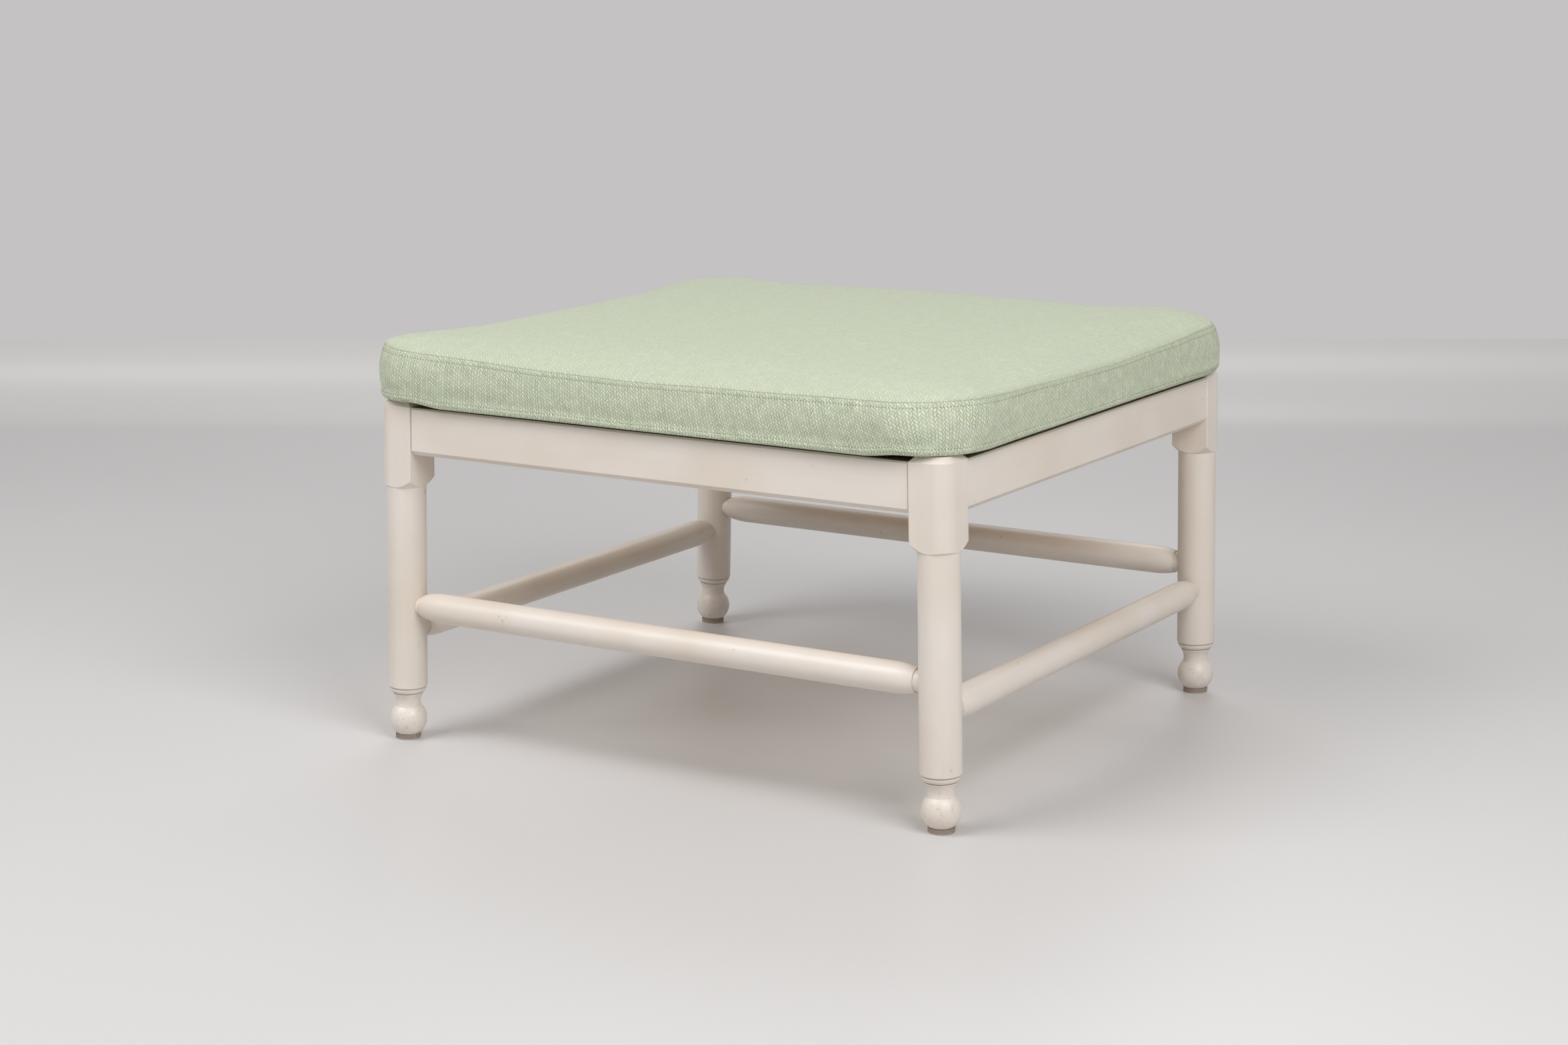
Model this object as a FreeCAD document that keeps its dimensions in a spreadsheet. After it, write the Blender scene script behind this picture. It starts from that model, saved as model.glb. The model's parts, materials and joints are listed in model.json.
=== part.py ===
"""A low, nearly square footstool: four turned legs, four rails, four stretchers and a loose box cushion.

The stool stands on the plane z = 0 with its centre over the origin, +Z up. The front is the long side
facing -Y and the legs lean outwards along X. The front right quarter is modelled and mirrored.
"""

import FreeCAD
import Part
import math
import os
import Sketcher
from FreeCAD import Placement, Rotation, Vector

# Driving dimensions, in millimetres and degrees

SIZES = {
    # Frame: spacing of the leg axes at the top of the rails
    "leg_spacing_x": 576.0,
    "leg_spacing_y": 557.0,
    "leg_splay": 1.3,
    "rail_top": 332.0,
    # Leg, turned part
    "shaft_radius": 19.0,
    "shaft_edge": 0.8,
    "ball_radius": 18.4,
    "ball_height": 19.7,
    "ball_seam_radius": 12.8,
    "cove_radius": 14.5,
    "lip_radius": 14.8,
    "lip_height": 45.3,
    "lip_width": 1.0,
    "groove_width": 0.7,
    "groove_depth": 0.9,
    "bead_low_radius": 14.9,
    "bead_high_radius": 17.9,
    "bead_height": 5.0,
    "bead_round": 4.6,
    "foot_overrun": 2.0,
    # Leg, squared head
    "head_half": 19.3,
    "head_corner": 15.5,
    "head_rise": 5.5,
    "head_chamfer": 5.3,
    "head_drop": 71.5,
    "shoulder_height": 8.0,
    "arris_round": 0.9,
    "turning_overrun": 6.0,
    # Rails
    "rail_thickness": 22.0,
    "rail_height": 46.0,
    "rail_setback": 1.1,
    "rail_lower_chamfer": 4.2,
    "rail_upper_bevel": 1.8,
    "rail_end_bevel": 1.2,
    # Rail dowels
    "dowel_radius": 4.0,
    "dowel_in_leg": 20.0,
    "dowel_in_rail": 24.0,
    "dowel_upper_drop": 12.0,
    "dowel_pitch": 22.0,
    # Stretchers
    "long_stretcher_height": 134.5,
    "side_stretcher_height": 109.4,
    "stretcher_radius": 14.3,
    "nose_length": 26.0,
    "nose_radius": 11.4,
    "nose_arc": 92.0,
    "neck_length": 3.5,
    "neck_radius": 10.2,
    "spigot_length": 18.0,
    # Glides and their nails
    "glide_radius": 12.25,
    "glide_height": 5.2,
    "glide_edge": 1.0,
    "nail_radius": 1.3,
    "nail_head_radius": 4.0,
    "nail_head_height": 1.2,
    "nail_head_cover": 2.2,
    "nail_in_leg": 16.0,
    "nail_tip": 3.0,
    # Slatted seat
    "slat_count": 8,
    "slat_width": 56.0,
    "slat_thickness": 12.0,
    "slat_drop": 2.0,
    "slat_end_gap": 1.0,
    "slat_side_gap": 1.5,
    "slat_edge": 1.5,
    "cleat_width": 18.0,
    "cleat_height": 18.0,
    "cleat_end_gap": 1.5,
    "cleat_screw_count": 4,
    # Corner blocks
    "block_height": 28.0,
    "block_width": 28.0,
    "block_gap": 3.0,
    "block_grip": 18.0,
    # Wood screws, countersunk with a cross recess
    "screw_head_radius": 4.0,
    "screw_head_height": 2.6,
    "screw_radius": 2.0,
    "screw_tip": 4.0,
    "rail_screw_length": 30.0,
    "slat_screw_length": 25.0,
    "recess_length": 4.4,
    "recess_width": 1.1,
    "recess_depth": 1.3,
    # Cushion
    "cushion_clearance": 0.3,
    "cushion_overhang": 9.0,
    "cushion_flare": 6.0,
    "boxing_height": 43.0,
    "boxing_bulge": 2.5,
    "side_pull": 2.0,
    "corner_bottom": 56.0,
    "corner_top": 72.0,
    "crown_height": 13.0,
    "crown_reach": 58.0,
    "centre_rise": 2.0,
    "centre_reach": 120.0,
    "underside_bow": 2.2,
    "underside_gap": 6.0,
    "underside_slope": 45.0,
    "cover_thickness": 1.5,
    # Zip in the back of the boxing
    "zip_length": 460.0,
    "zip_width": 9.0,
    "zip_height": 8.5,
    "slider_length": 11.0,
    "slider_height": 6.5,
    "slider_depth": 1.3,
    "slider_inset": 14.0,
    "slider_gap": 0.3,
    # The slider's pull tab, on a pin between two lugs
    "pull_length": 18.0,
    "pull_width": 3.0,
    "pull_thickness": 0.7,
    "pin_radius": 0.4,
    "pin_gap": 0.1,
    "lug_length": 1.8,
    "lug_width": 0.9,
    "lug_depth": 1.5,
}

# Rings in the rounded edge of the cushion's crown, and up its boxing
CROWN_RINGS = 7
BOXING_RINGS = 5

# Distance at which two points count as the same when an edge is looked up
TOUCH = 0.01

doc = FreeCAD.newDocument("footstool")
pieces = []


# Sizes that carry both a number and the expression that ties it to the sheet


class Size:
    """A number together with the expression that gives it from the sheet."""

    def __init__(self, value, text):
        self.value = float(value)
        self.text = text

    @staticmethod
    def of(other):
        return other if isinstance(other, Size) else Size(other, repr(other))

    def join(self, other, sign, value):
        return Size(value, f"({self.text} {sign} {other.text})")

    def __add__(self, other):
        other = Size.of(other)
        return self.join(other, "+", self.value + other.value)

    def __sub__(self, other):
        other = Size.of(other)
        return self.join(other, "-", self.value - other.value)

    def __rsub__(self, other):
        return Size.of(other) - self

    def __mul__(self, other):
        other = Size.of(other)
        return self.join(other, "*", self.value * other.value)

    def __rmul__(self, other):
        return Size.of(other) * self

    def __truediv__(self, other):
        other = Size.of(other)
        return self.join(other, "/", self.value / other.value)

    def __neg__(self):
        return Size(-self.value, f"(-{self.text})")


def root(size):
    """The square root of a size."""
    return Size(math.sqrt(size.value), f"sqrt({size.text})")


def sine(angle):
    """The sine of an angle in degrees."""
    return Size(math.sin(math.radians(angle.value)), f"sin({angle.text})")


def cosine(angle):
    """The cosine of an angle in degrees."""
    return Size(math.cos(math.radians(angle.value)), f"cos({angle.text})")


def tangent(angle):
    """The tangent of an angle in degrees."""
    return Size(math.tan(math.radians(angle.value)), f"tan({angle.text})")


class Sheet:
    """The spreadsheet of driving dimensions, read back as sizes."""

    def __init__(self, sizes):
        self.sheet = doc.addObject("Spreadsheet::Sheet", "sizes")
        for row, (alias, value) in enumerate(sizes.items(), start=1):
            self.sheet.set(f"A{row}", alias)
            self.sheet.set(f"B{row}", str(value))
            self.sheet.setAlias(f"B{row}", alias)
        doc.recompute()

    def __getattr__(self, alias):
        return Size(self.sheet.get(alias), f"sizes.{alias}")


s = Sheet(SIZES)


# Helpers for features


def bind(feature, **sizes):
    """Ties properties of a feature to sizes; two underscores in a name stand for a full stop."""
    for name, size in sizes.items():
        feature.setExpression(name.replace("__", "."), Size.of(size).text)


def move(feature, x=0, y=0, z=0):
    """Places a feature by sizes along the three axes."""
    bind(feature, Placement__Base__x=x, Placement__Base__y=y, Placement__Base__z=z)


def add(kind, name, **sizes):
    """A Part feature with its properties tied to sizes."""
    feature = doc.addObject(kind, name)
    bind(feature, **sizes)
    return feature


def keep(feature, name):
    """Names a finished piece of the stool."""
    feature.Label = name
    pieces.append(feature)
    return feature


def compound(name, links):
    """A group of separate solids."""
    group = doc.addObject("Part::Compound", name)
    group.Links = links
    return group


def cut(name, base, *tools):
    """A base with one or more tools taken away."""
    feature = doc.addObject("Part::Cut", name)
    feature.Base = base
    feature.Tool = tools[0] if len(tools) == 1 else compound(f"{name}_tools", list(tools))
    return feature


def mirror(name, source, normal):
    """A piece mirrored in the plane through the origin with the given normal."""
    feature = doc.addObject("Part::Mirroring", name)
    feature.Source = source
    feature.Normal = normal
    return feature


def mirror_x(name, source):
    """A piece carried over to the other side of the plane x = 0."""
    return mirror(name, source, Vector(1, 0, 0))


def mirror_y(name, source):
    """A piece carried over to the other side of the plane y = 0."""
    return mirror(name, source, Vector(0, 1, 0))


def sketch_on(body, name, role, offset=0):
    """An empty sketch on one of a body's origin planes, moved along the plane's normal."""
    sketch = body.newObject("Sketcher::SketchObject", name)
    plane = [item for item in body.Origin.OriginFeatures if item.Role == role][0]
    sketch.AttachmentSupport = (plane, "")
    sketch.MapMode = "FlatFace"
    bind(sketch, AttachmentOffset__Base__z=offset)
    return sketch


def arc_between(start, end, radius, side):
    """The centre and the two angles of an arc; side +1 puts the centre left of start to end."""
    chord = end - start
    half = chord.Length / 2
    lift = math.sqrt(max(radius * radius - half * half, 0.0))
    across = Vector(-chord.y, chord.x, 0).normalize()
    centre = (start + end) * (1 / 2) + across * (lift * side)
    first = math.atan2(start.y - centre.y, start.x - centre.x)
    last = math.atan2(end.y - centre.y, end.x - centre.x)
    return centre, first, last


def outline(sketch, points, arcs=None):
    """Draws a closed outline through points given in sizes.

    arcs maps the index of a starting point to the radius of the arc that leaves it and the side of
    its centre: +1 for left of the way from start to end, which turns anticlockwise, -1 for right.
    """
    arcs = arcs or {}
    places = [Vector(Size.of(x).value, Size.of(y).value, 0) for x, y in points]
    ends = []
    for index, start in enumerate(places):
        end = places[(index + 1) % len(places)]
        if index not in arcs:
            sketch.addGeometry(Part.LineSegment(start, end))
            ends.append((1, 2))
            continue
        radius, side = arcs[index]
        centre, first, last = arc_between(start, end, radius.value, side)
        circle = Part.Circle(centre, Vector(0, 0, 1), radius.value)
        if side > 0:
            sketch.addGeometry(Part.ArcOfCircle(circle, first, last))
            ends.append((1, 2))
        else:
            sketch.addGeometry(Part.ArcOfCircle(circle, last, first))
            ends.append((2, 1))
    for index in range(len(places)):
        after = (index + 1) % len(places)
        joined = (index, ends[index][1], after, ends[after][0])
        sketch.addConstraint(Sketcher.Constraint("Coincident", *joined))
    for index, (x, y) in enumerate(points):
        tie_point(sketch, index, ends[index][0], "DistanceX", x)
        tie_point(sketch, index, ends[index][0], "DistanceY", y)
    for index, (radius, side) in arcs.items():
        number = sketch.addConstraint(Sketcher.Constraint("Radius", index, radius.value))
        sketch.setExpression(f"Constraints[{number}]", radius.text)


def tie_point(sketch, index, end, kind, size):
    """Ties one coordinate of a point of a sketch: to an axis where it is zero, else to its size."""
    if not isinstance(size, Size):
        axis = -2 if kind == "DistanceX" else -1
        sketch.addConstraint(Sketcher.Constraint("PointOnObject", index, end, axis))
        return
    number = sketch.addConstraint(Sketcher.Constraint(kind, -1, 1, index, end, size.value))
    sketch.setExpression(f"Constraints[{number}]", size.text)


def new_body(name):
    """An empty body."""
    return doc.addObject("PartDesign::Body", name)


def pad(body, sketch, length):
    """Raises a sketch along its normal."""
    feature = body.newObject("PartDesign::Pad", f"{body.Name}_pad")
    feature.Profile = sketch
    bind(feature, Length=length)
    doc.recompute()
    return feature


def turn(body, sketch, axis="V_Axis", kind="Revolution"):
    """Turns a sketch a full circle about one of its axes, adding or taking away."""
    feature = body.newObject(f"PartDesign::{kind}", f"{body.Name}_{kind.lower()}")
    feature.Profile = sketch
    feature.ReferenceAxis = (sketch, [axis])
    feature.Angle = 360
    doc.recompute()
    return feature


def edges_at(shape, **planes):
    """Names of the edges that lie wholly in each of the given planes, such as z=30."""
    found = []
    for number, edge in enumerate(shape.Edges, start=1):
        box = edge.BoundBox
        spans = {"x": (box.XMin, box.XMax), "y": (box.YMin, box.YMax), "z": (box.ZMin, box.ZMax)}
        if all(max(abs(end - at) for end in spans[axis]) < TOUCH for axis, at in planes.items()):
            found.append(f"Edge{number}")
    return found


def dress(body, kind, base, edges, size):
    """Chamfers or fillets named edges of a body's last feature."""
    feature = body.newObject(f"PartDesign::{kind}", f"{body.Name}_{kind.lower()}")
    feature.Base = (base, edges)
    bind(feature, **{"Size" if kind == "Chamfer" else "Radius": size})
    doc.recompute()
    return feature


# Places that several pieces share


def leg_axis_x(height):
    """Distance of the right leg's axis from the middle plane, at a height."""
    return s.leg_spacing_x / 2 + (s.rail_top - height) * tangent(s.leg_splay)


HALF_X = s.leg_spacing_x / 2
HALF_Y = s.leg_spacing_y / 2
LEAN = cosine(s.leg_splay)
RAIL_BOTTOM = s.rail_top - s.rail_height
# Faces of the leg's head that the rails meet
HEAD_INNER_X = HALF_X - s.head_half / LEAN
HEAD_INNER_Y = HALF_Y - s.head_half
# Outer and inner faces of the rails
FRONT_OUTER_Y = HALF_Y + s.head_half - s.rail_setback
FRONT_INNER_Y = FRONT_OUTER_Y - s.rail_thickness
SIDE_OUTER_X = HALF_X + (s.head_half - s.rail_setback) / LEAN
SIDE_INNER_X = SIDE_OUTER_X - s.rail_thickness
SLAT_TOP = s.rail_top - s.slat_drop
SLAT_BOTTOM = SLAT_TOP - s.slat_thickness
LEG_TOP = s.rail_top + s.head_rise
# Highest point of a leaning leg's head, at the edge of its top chamfer
HEAD_PEAK = s.rail_top + s.head_rise * LEAN + (s.head_half - s.head_chamfer) * sine(s.leg_splay)
# Lowest level of the cushion over the legs, and the level of its lower seam
CUSHION_LEDGE = HEAD_PEAK + s.cushion_clearance
LOWER_SEAM = CUSHION_LEDGE + s.underside_bow
FOOT_X = leg_axis_x(s.glide_height)
# The corner block spans from BLOCK_NEAR to BLOCK_FAR along both rails, clear of the leg's head
HEAD_REACH = s.head_half * 2 - s.rail_setback - s.rail_thickness
BLOCK_NEAR = HEAD_REACH * 2 + s.block_gap
BLOCK_FAR = BLOCK_NEAR + s.block_width * math.sqrt(2)
BLOCK_SCREW = (BLOCK_NEAR + BLOCK_FAR) / 2
CLEAT_HALF = SIDE_INNER_X - BLOCK_FAR - s.cleat_end_gap


# Dowels that join the rails to the legs


def dowel(name, axis, x, y, z):
    """A dowel that starts at a place in a rail and runs along +X or +Y into a leg."""
    pin = add("Part::Cylinder", name, Radius=s.dowel_radius, Height=s.dowel_in_rail + s.dowel_in_leg)
    pin.Placement = Placement(Vector(), Rotation(Vector(0, 0, 1), axis))
    move(pin, x, y, z)
    return pin


def make_dowels():
    """Two dowels at each end of each rail, mirrored from the front right leg."""
    along_x, along_y = Vector(1, 0, 0), Vector(0, -1, 0)
    quarter = []
    for level, drop in enumerate((s.dowel_upper_drop, s.dowel_upper_drop + s.dowel_pitch)):
        z = s.rail_top - drop
        front_start = HEAD_INNER_X - s.dowel_in_rail
        side_start = -(HEAD_INNER_Y - s.dowel_in_rail)
        front_y = -(FRONT_OUTER_Y - s.rail_thickness / 2)
        side_x = SIDE_OUTER_X - s.rail_thickness / 2
        quarter.append(dowel(f"front_dowel_{level}", along_x, front_start, front_y, z))
        quarter.append(dowel(f"side_dowel_{level}", along_y, side_x, side_start, z))
    right_front = compound("dowels_right_front", quarter)
    left_front = mirror_x("dowels_left_front", right_front)
    right_back = mirror_y("dowels_right_back", right_front)
    left_back = mirror_y("dowels_left_back", left_front)
    return keep(compound("rail_dowels", [right_front, left_front, right_back, left_back]), "rail_dowels")


# Screws and nails


def screw_form(name, length):
    """A plain countersunk screw with the top of its head at the origin, pointing down."""
    body = new_body(name)
    profile = sketch_on(body, f"{name}_profile", "XZ_Plane")
    points = [
        (0, 0),
        (s.screw_head_radius, 0),
        (s.screw_radius, -s.screw_head_height),
        (s.screw_radius, s.screw_tip - length),
        (0, -length),
    ]
    outline(profile, points)
    turn(body, profile)
    return body


def recessed(name, screw):
    """A screw with a cross recess in its head."""
    arms = []
    for number, (x, y) in enumerate(((s.recess_length, s.recess_width), (s.recess_width, s.recess_length))):
        arm = add("Part::Box", f"{name}_arm_{number}", Length=x, Width=y, Height=s.recess_depth)
        move(arm, -x / 2, -y / 2, -s.recess_depth)
        arms.append(arm)
    cross = doc.addObject("Part::Fuse", f"{name}_cross")
    cross.Base, cross.Tool = arms
    return cut(name, screw, cross)


def group_of(name, source, places):
    """Copies of one solid at several placements, as a group."""
    doc.recompute()
    group = doc.addObject("Part::Feature", name)
    solids = []
    for place in places:
        solid = source.Shape.copy()
        solid.Placement = place.multiply(solid.Placement)
        solids.append(solid)
    group.Shape = Part.makeCompound(solids)
    return group


def nail_form():
    """A glide's nail, head down, its axis on the Z axis and the underside of its head at its place."""
    body = new_body("nail")
    profile = sketch_on(body, "nail_profile", "XZ_Plane")
    length = s.glide_height - s.nail_head_cover - s.nail_head_height + s.nail_in_leg
    points = [
        (0, -s.nail_head_height),
        (s.nail_head_radius, -s.nail_head_height),
        (s.nail_head_radius, 0),
        (s.nail_radius, 0),
        (s.nail_radius, length - s.nail_tip),
        (0, length),
    ]
    outline(profile, points)
    turn(body, profile)
    return body


def four_corners(x, y, z):
    """Placements at the four mirrored corners of the stool."""
    return [Placement(Vector(i * x, j * y, z), Rotation()) for i in (1, -1) for j in (-1, 1)]


# Legs


def make_turning(head_low):
    """What the lathe leaves: ball foot, neck, bead, shaft and the cone under the squared head."""
    body = new_body("leg_turning")
    profile = sketch_on(body, "leg_profile", "XZ_Plane")
    foot_z = s.glide_height - s.foot_overrun
    foot_radius = root(s.ball_radius * s.ball_radius - (s.ball_height - foot_z) * (s.ball_height - foot_z))
    seam_rise = root(s.ball_radius * s.ball_radius - s.ball_seam_radius * s.ball_seam_radius)
    lower_groove = s.lip_height + s.lip_width
    bead_z = lower_groove + s.groove_width
    upper_groove = bead_z + s.bead_height
    shaft_z = upper_groove + s.groove_width
    corner_reach = s.head_half * math.sqrt(2)
    reach = corner_reach + s.turning_overrun
    slope = s.shoulder_height / (corner_reach - s.shaft_radius)
    top = LEG_TOP + s.turning_overrun
    points = [
        (0, foot_z),
        (foot_radius, foot_z),
        (s.ball_seam_radius, s.ball_height + seam_rise),
        (s.lip_radius, s.lip_height),
        (s.lip_radius, lower_groove),
        (s.lip_radius - s.groove_depth, lower_groove),
        (s.lip_radius - s.groove_depth, bead_z),
        (s.bead_low_radius, bead_z),
        (s.bead_high_radius, upper_groove),
        (s.bead_high_radius - s.groove_depth, upper_groove),
        (s.bead_high_radius - s.groove_depth, shaft_z),
        (s.shaft_radius - s.shaft_edge, shaft_z),
        (s.shaft_radius, shaft_z + s.shaft_edge),
        (s.shaft_radius, head_low),
        (reach, head_low + (reach - s.shaft_radius) * slope),
        (reach, top),
        (0, top),
    ]
    ball, cove, bead = (s.ball_radius, 1), (s.cove_radius, -1), (s.bead_round, 1)
    outline(profile, points, {1: ball, 2: cove, 7: bead})
    turn(body, profile)
    return body


def make_blank():
    """The squared leg before turning: one round corner, three eased arrises, a chamfered top."""
    body = new_body("leg_blank")
    half, corner = s.head_half, s.head_corner
    square = sketch_on(body, "blank_section", "XY_Plane")
    points = [(half, corner - half), (half, half), (-half, half), (-half, -half), (half - corner, -half)]
    outline(square, points, {4: (corner, 1)})
    prism = pad(body, square, LEG_TOP)
    blank = dress(body, "Chamfer", prism, edges_at(prism.Shape, z=LEG_TOP.value), s.head_chamfer)
    arrises = []
    for x, y in ((1, 1), (-1, 1), (-1, -1)):
        arrises += edges_at(blank.Shape, x=x * half.value, y=y * half.value)
    dress(body, "Fillet", blank, arrises, s.arris_round)
    return body


def make_whole_leg():
    """The front right leg, leaning outwards, before its holes are bored."""
    head_low = s.rail_top - s.head_drop - s.shoulder_height
    turning, blank = make_turning(head_low), make_blank()
    for body in (turning, blank):
        body.Placement = Placement(Vector(), Rotation(Vector(0, -1, 0), SIZES["leg_splay"]))
        body.setExpression("Placement.Rotation.Angle", f"{s.leg_splay.text} * 1 deg")
        move(body, HALF_X + s.rail_top * sine(s.leg_splay), -HALF_Y, s.rail_top - s.rail_top * LEAN)
    whole = doc.addObject("Part::Common", "leg_whole")
    whole.Base = turning
    whole.Tool = blank
    return whole


def socket(name, axis, x, y, z):
    """The round socket of a stretcher's spigot, starting at its blind end."""
    hole = add("Part::Cylinder", name, Radius=s.neck_radius, Height=s.spigot_length + s.shaft_radius)
    hole.Placement = Placement(Vector(), Rotation(Vector(0, 0, 1), axis))
    move(hole, x, y, z)
    return hole


def spigot_end(half_span):
    """Distance from the stool's middle to a spigot's blind end, for a leg axis at half_span."""
    return half_span - s.shaft_radius + s.spigot_length


def make_legs(dowels, nails):
    """The four legs, mirrored from the front right one."""
    whole = make_whole_leg()
    trim = add("Part::Cylinder", "foot_trim", Radius=s.ball_radius, Height=s.glide_height)
    move(trim, FOOT_X, -HALF_Y, 0)
    long_x = leg_axis_x(s.long_stretcher_height)
    side_x = leg_axis_x(s.side_stretcher_height)
    long_place = (spigot_end(long_x), -HALF_Y, s.long_stretcher_height)
    side_place = (side_x, -spigot_end(HALF_Y), s.side_stretcher_height)
    long_socket = socket("long_socket", Vector(-1, 0, 0), *long_place)
    side_socket = socket("side_socket", Vector(0, 1, 0), *side_place)
    front_right = cut("leg_front_right", whole, trim, dowels, nails, long_socket, side_socket)
    front_left = mirror_x("leg_front_left", front_right)
    keep(front_right, "leg_front_right")
    keep(front_left, "leg_front_left")
    keep(mirror_y("leg_back_right", front_right), "leg_back_right")
    keep(mirror_y("leg_back_left", front_left), "leg_back_left")


def make_glides():
    """The round glides under the feet, with the nails that hold them; returns the nails."""
    nail_z = s.nail_head_cover + s.nail_head_height
    corners = four_corners(FOOT_X.value, HALF_Y.value, nail_z.value)
    nails = keep(group_of("glide_nails", nail_form(), corners), "glide_nails")
    body = new_body("glide_form")
    profile = sketch_on(body, "glide_profile", "XZ_Plane")
    points = [
        (0, 0),
        (s.glide_radius - s.glide_edge, 0),
        (s.glide_radius, s.glide_edge),
        (s.glide_radius, s.glide_height),
        (0, s.glide_height),
    ]
    outline(profile, points)
    turn(body, profile)
    move(body, FOOT_X, -HALF_Y, 0)
    front_right = cut("glide_front_right", body, nails)
    front_left = mirror_x("glide_front_left", front_right)
    keep(front_right, "glide_front_right")
    keep(front_left, "glide_front_left")
    keep(mirror_y("glide_back_right", front_right), "glide_back_right")
    keep(mirror_y("glide_back_left", front_left), "glide_back_left")
    return nails


# Rails


def make_front_rail():
    """The uncut front rail: its ends follow the lean of the legs."""
    body = new_body("front_rail_form")
    face = sketch_on(body, "front_rail_face", "XZ_Plane", FRONT_INNER_Y)
    low = HEAD_INNER_X + s.rail_height * tangent(s.leg_splay)
    top = HEAD_INNER_X
    points = [(low, RAIL_BOTTOM), (top, s.rail_top), (-top, s.rail_top), (-low, RAIL_BOTTOM)]
    outline(face, points)
    rail = pad(body, face, s.rail_thickness)
    outer = -FRONT_OUTER_Y.value
    lower = edges_at(rail.Shape, y=outer, z=RAIL_BOTTOM.value)
    rail = dress(body, "Chamfer", rail, lower, s.rail_lower_chamfer)
    upper = edges_at(rail.Shape, y=outer, z=s.rail_top.value)
    rail = dress(body, "Chamfer", rail, upper, s.rail_upper_bevel)
    ends = [name for name in edges_at(rail.Shape, y=outer) if is_upright(rail.Shape, name)]
    dress(body, "Chamfer", rail, ends, s.rail_end_bevel)
    return body


def is_upright(shape, name):
    """Whether an edge rises more than it runs."""
    box = shape.getElement(name).BoundBox
    return box.ZLength > max(box.XLength, box.YLength)


def make_side_rail():
    """The uncut right rail: its outer face leans with the legs and its inner face is upright."""
    body = new_body("side_rail_form")
    section = sketch_on(body, "side_rail_section", "XZ_Plane", -HEAD_INNER_Y)
    slope = tangent(s.leg_splay)
    bevel, chamfer, end_bevel = s.rail_upper_bevel, s.rail_lower_chamfer, s.rail_end_bevel
    points = [
        (SIDE_INNER_X, s.rail_top),
        (SIDE_INNER_X, RAIL_BOTTOM),
        (SIDE_OUTER_X + s.rail_height * slope - chamfer, RAIL_BOTTOM),
        (SIDE_OUTER_X + (s.rail_height - chamfer) * slope, RAIL_BOTTOM + chamfer),
        (SIDE_OUTER_X + bevel * slope, s.rail_top - bevel),
        (SIDE_OUTER_X - bevel, s.rail_top),
    ]
    outline(section, points)
    rail = pad(body, section, HEAD_INNER_Y * 2)
    ends = []
    for at in (HEAD_INNER_Y.value, -HEAD_INNER_Y.value):
        found = [name for name in edges_at(rail.Shape, y=at) if is_upright(rail.Shape, name)]
        outermost = max(found, key=lambda name: rail.Shape.getElement(name).BoundBox.XMax)
        ends.append(outermost)
    dress(body, "Chamfer", rail, ends, end_bevel)
    return body


# Stretchers


def stretcher_form(name, role, half_span):
    """A round stretcher on a horizontal axis: a plain shank, rounded noses, necks and spigots."""
    body = new_body(name)
    profile = sketch_on(body, f"{name}_profile", role)
    end = spigot_end(half_span)
    nose = half_span - s.shaft_radius - s.neck_length
    shank = nose - s.nose_length
    points = [
        (-end, 0),
        (end, 0),
        (end, s.neck_radius),
        (nose, s.neck_radius),
        (nose, s.nose_radius),
        (shank, s.stretcher_radius),
        (-shank, s.stretcher_radius),
        (-nose, s.nose_radius),
        (-nose, s.neck_radius),
        (-end, s.neck_radius),
    ]
    outline(profile, points, {4: (s.nose_arc, 1), 6: (s.nose_arc, 1)})
    turn(body, profile, axis="H_Axis")
    return body


def make_stretchers():
    """The four stretchers: the front and back pair higher than the side pair."""
    long_x = leg_axis_x(s.long_stretcher_height)
    side_x = leg_axis_x(s.side_stretcher_height)
    front = stretcher_form("front_stretcher", "XZ_Plane", long_x)
    move(front, 0, -HALF_Y, s.long_stretcher_height)
    right = stretcher_form("right_stretcher", "YZ_Plane", HALF_Y)
    move(right, side_x, 0, s.side_stretcher_height)
    keep(front, "stretcher_front")
    keep(mirror_y("stretcher_back", front), "stretcher_back")
    keep(right, "stretcher_right")
    keep(mirror_x("stretcher_left", right), "stretcher_left")


# Corner blocks, cleats and slats


def make_block():
    """The uncut front right corner block: a strip across the corner, clear of the leg's head."""
    body = new_body("corner_block_form")
    section = sketch_on(body, "corner_block_section", "XY_Plane", SLAT_BOTTOM - s.block_height)
    points = [
        (SIDE_INNER_X - BLOCK_NEAR, -FRONT_INNER_Y),
        (SIDE_INNER_X, BLOCK_NEAR - FRONT_INNER_Y),
        (SIDE_INNER_X, BLOCK_FAR - FRONT_INNER_Y),
        (SIDE_INNER_X - BLOCK_FAR, -FRONT_INNER_Y),
    ]
    outline(section, points)
    pad(body, section, s.block_height)
    return body


def towards(x, y, z, away):
    """A placement whose local -Z axis points along the direction away."""
    return Placement(Vector(x, y, z), Rotation(Vector(0, 0, -1), away))


def block_screw_places():
    """Two screws in each corner block, one square to each rail."""
    x = (SIDE_INNER_X - BLOCK_SCREW).value
    y = (FRONT_INNER_Y - s.block_grip).value
    side_x = (SIDE_INNER_X - s.block_grip).value
    side_y = (FRONT_INNER_Y - BLOCK_SCREW).value
    z = (SLAT_BOTTOM - s.block_height / 2).value
    places = []
    for i in (1, -1):
        for j in (1, -1):
            places.append(towards(i * x, j * y, z, Vector(0, j, 0)))
            places.append(towards(i * side_x, j * side_y, z, Vector(i, 0, 0)))
    return places


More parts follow.
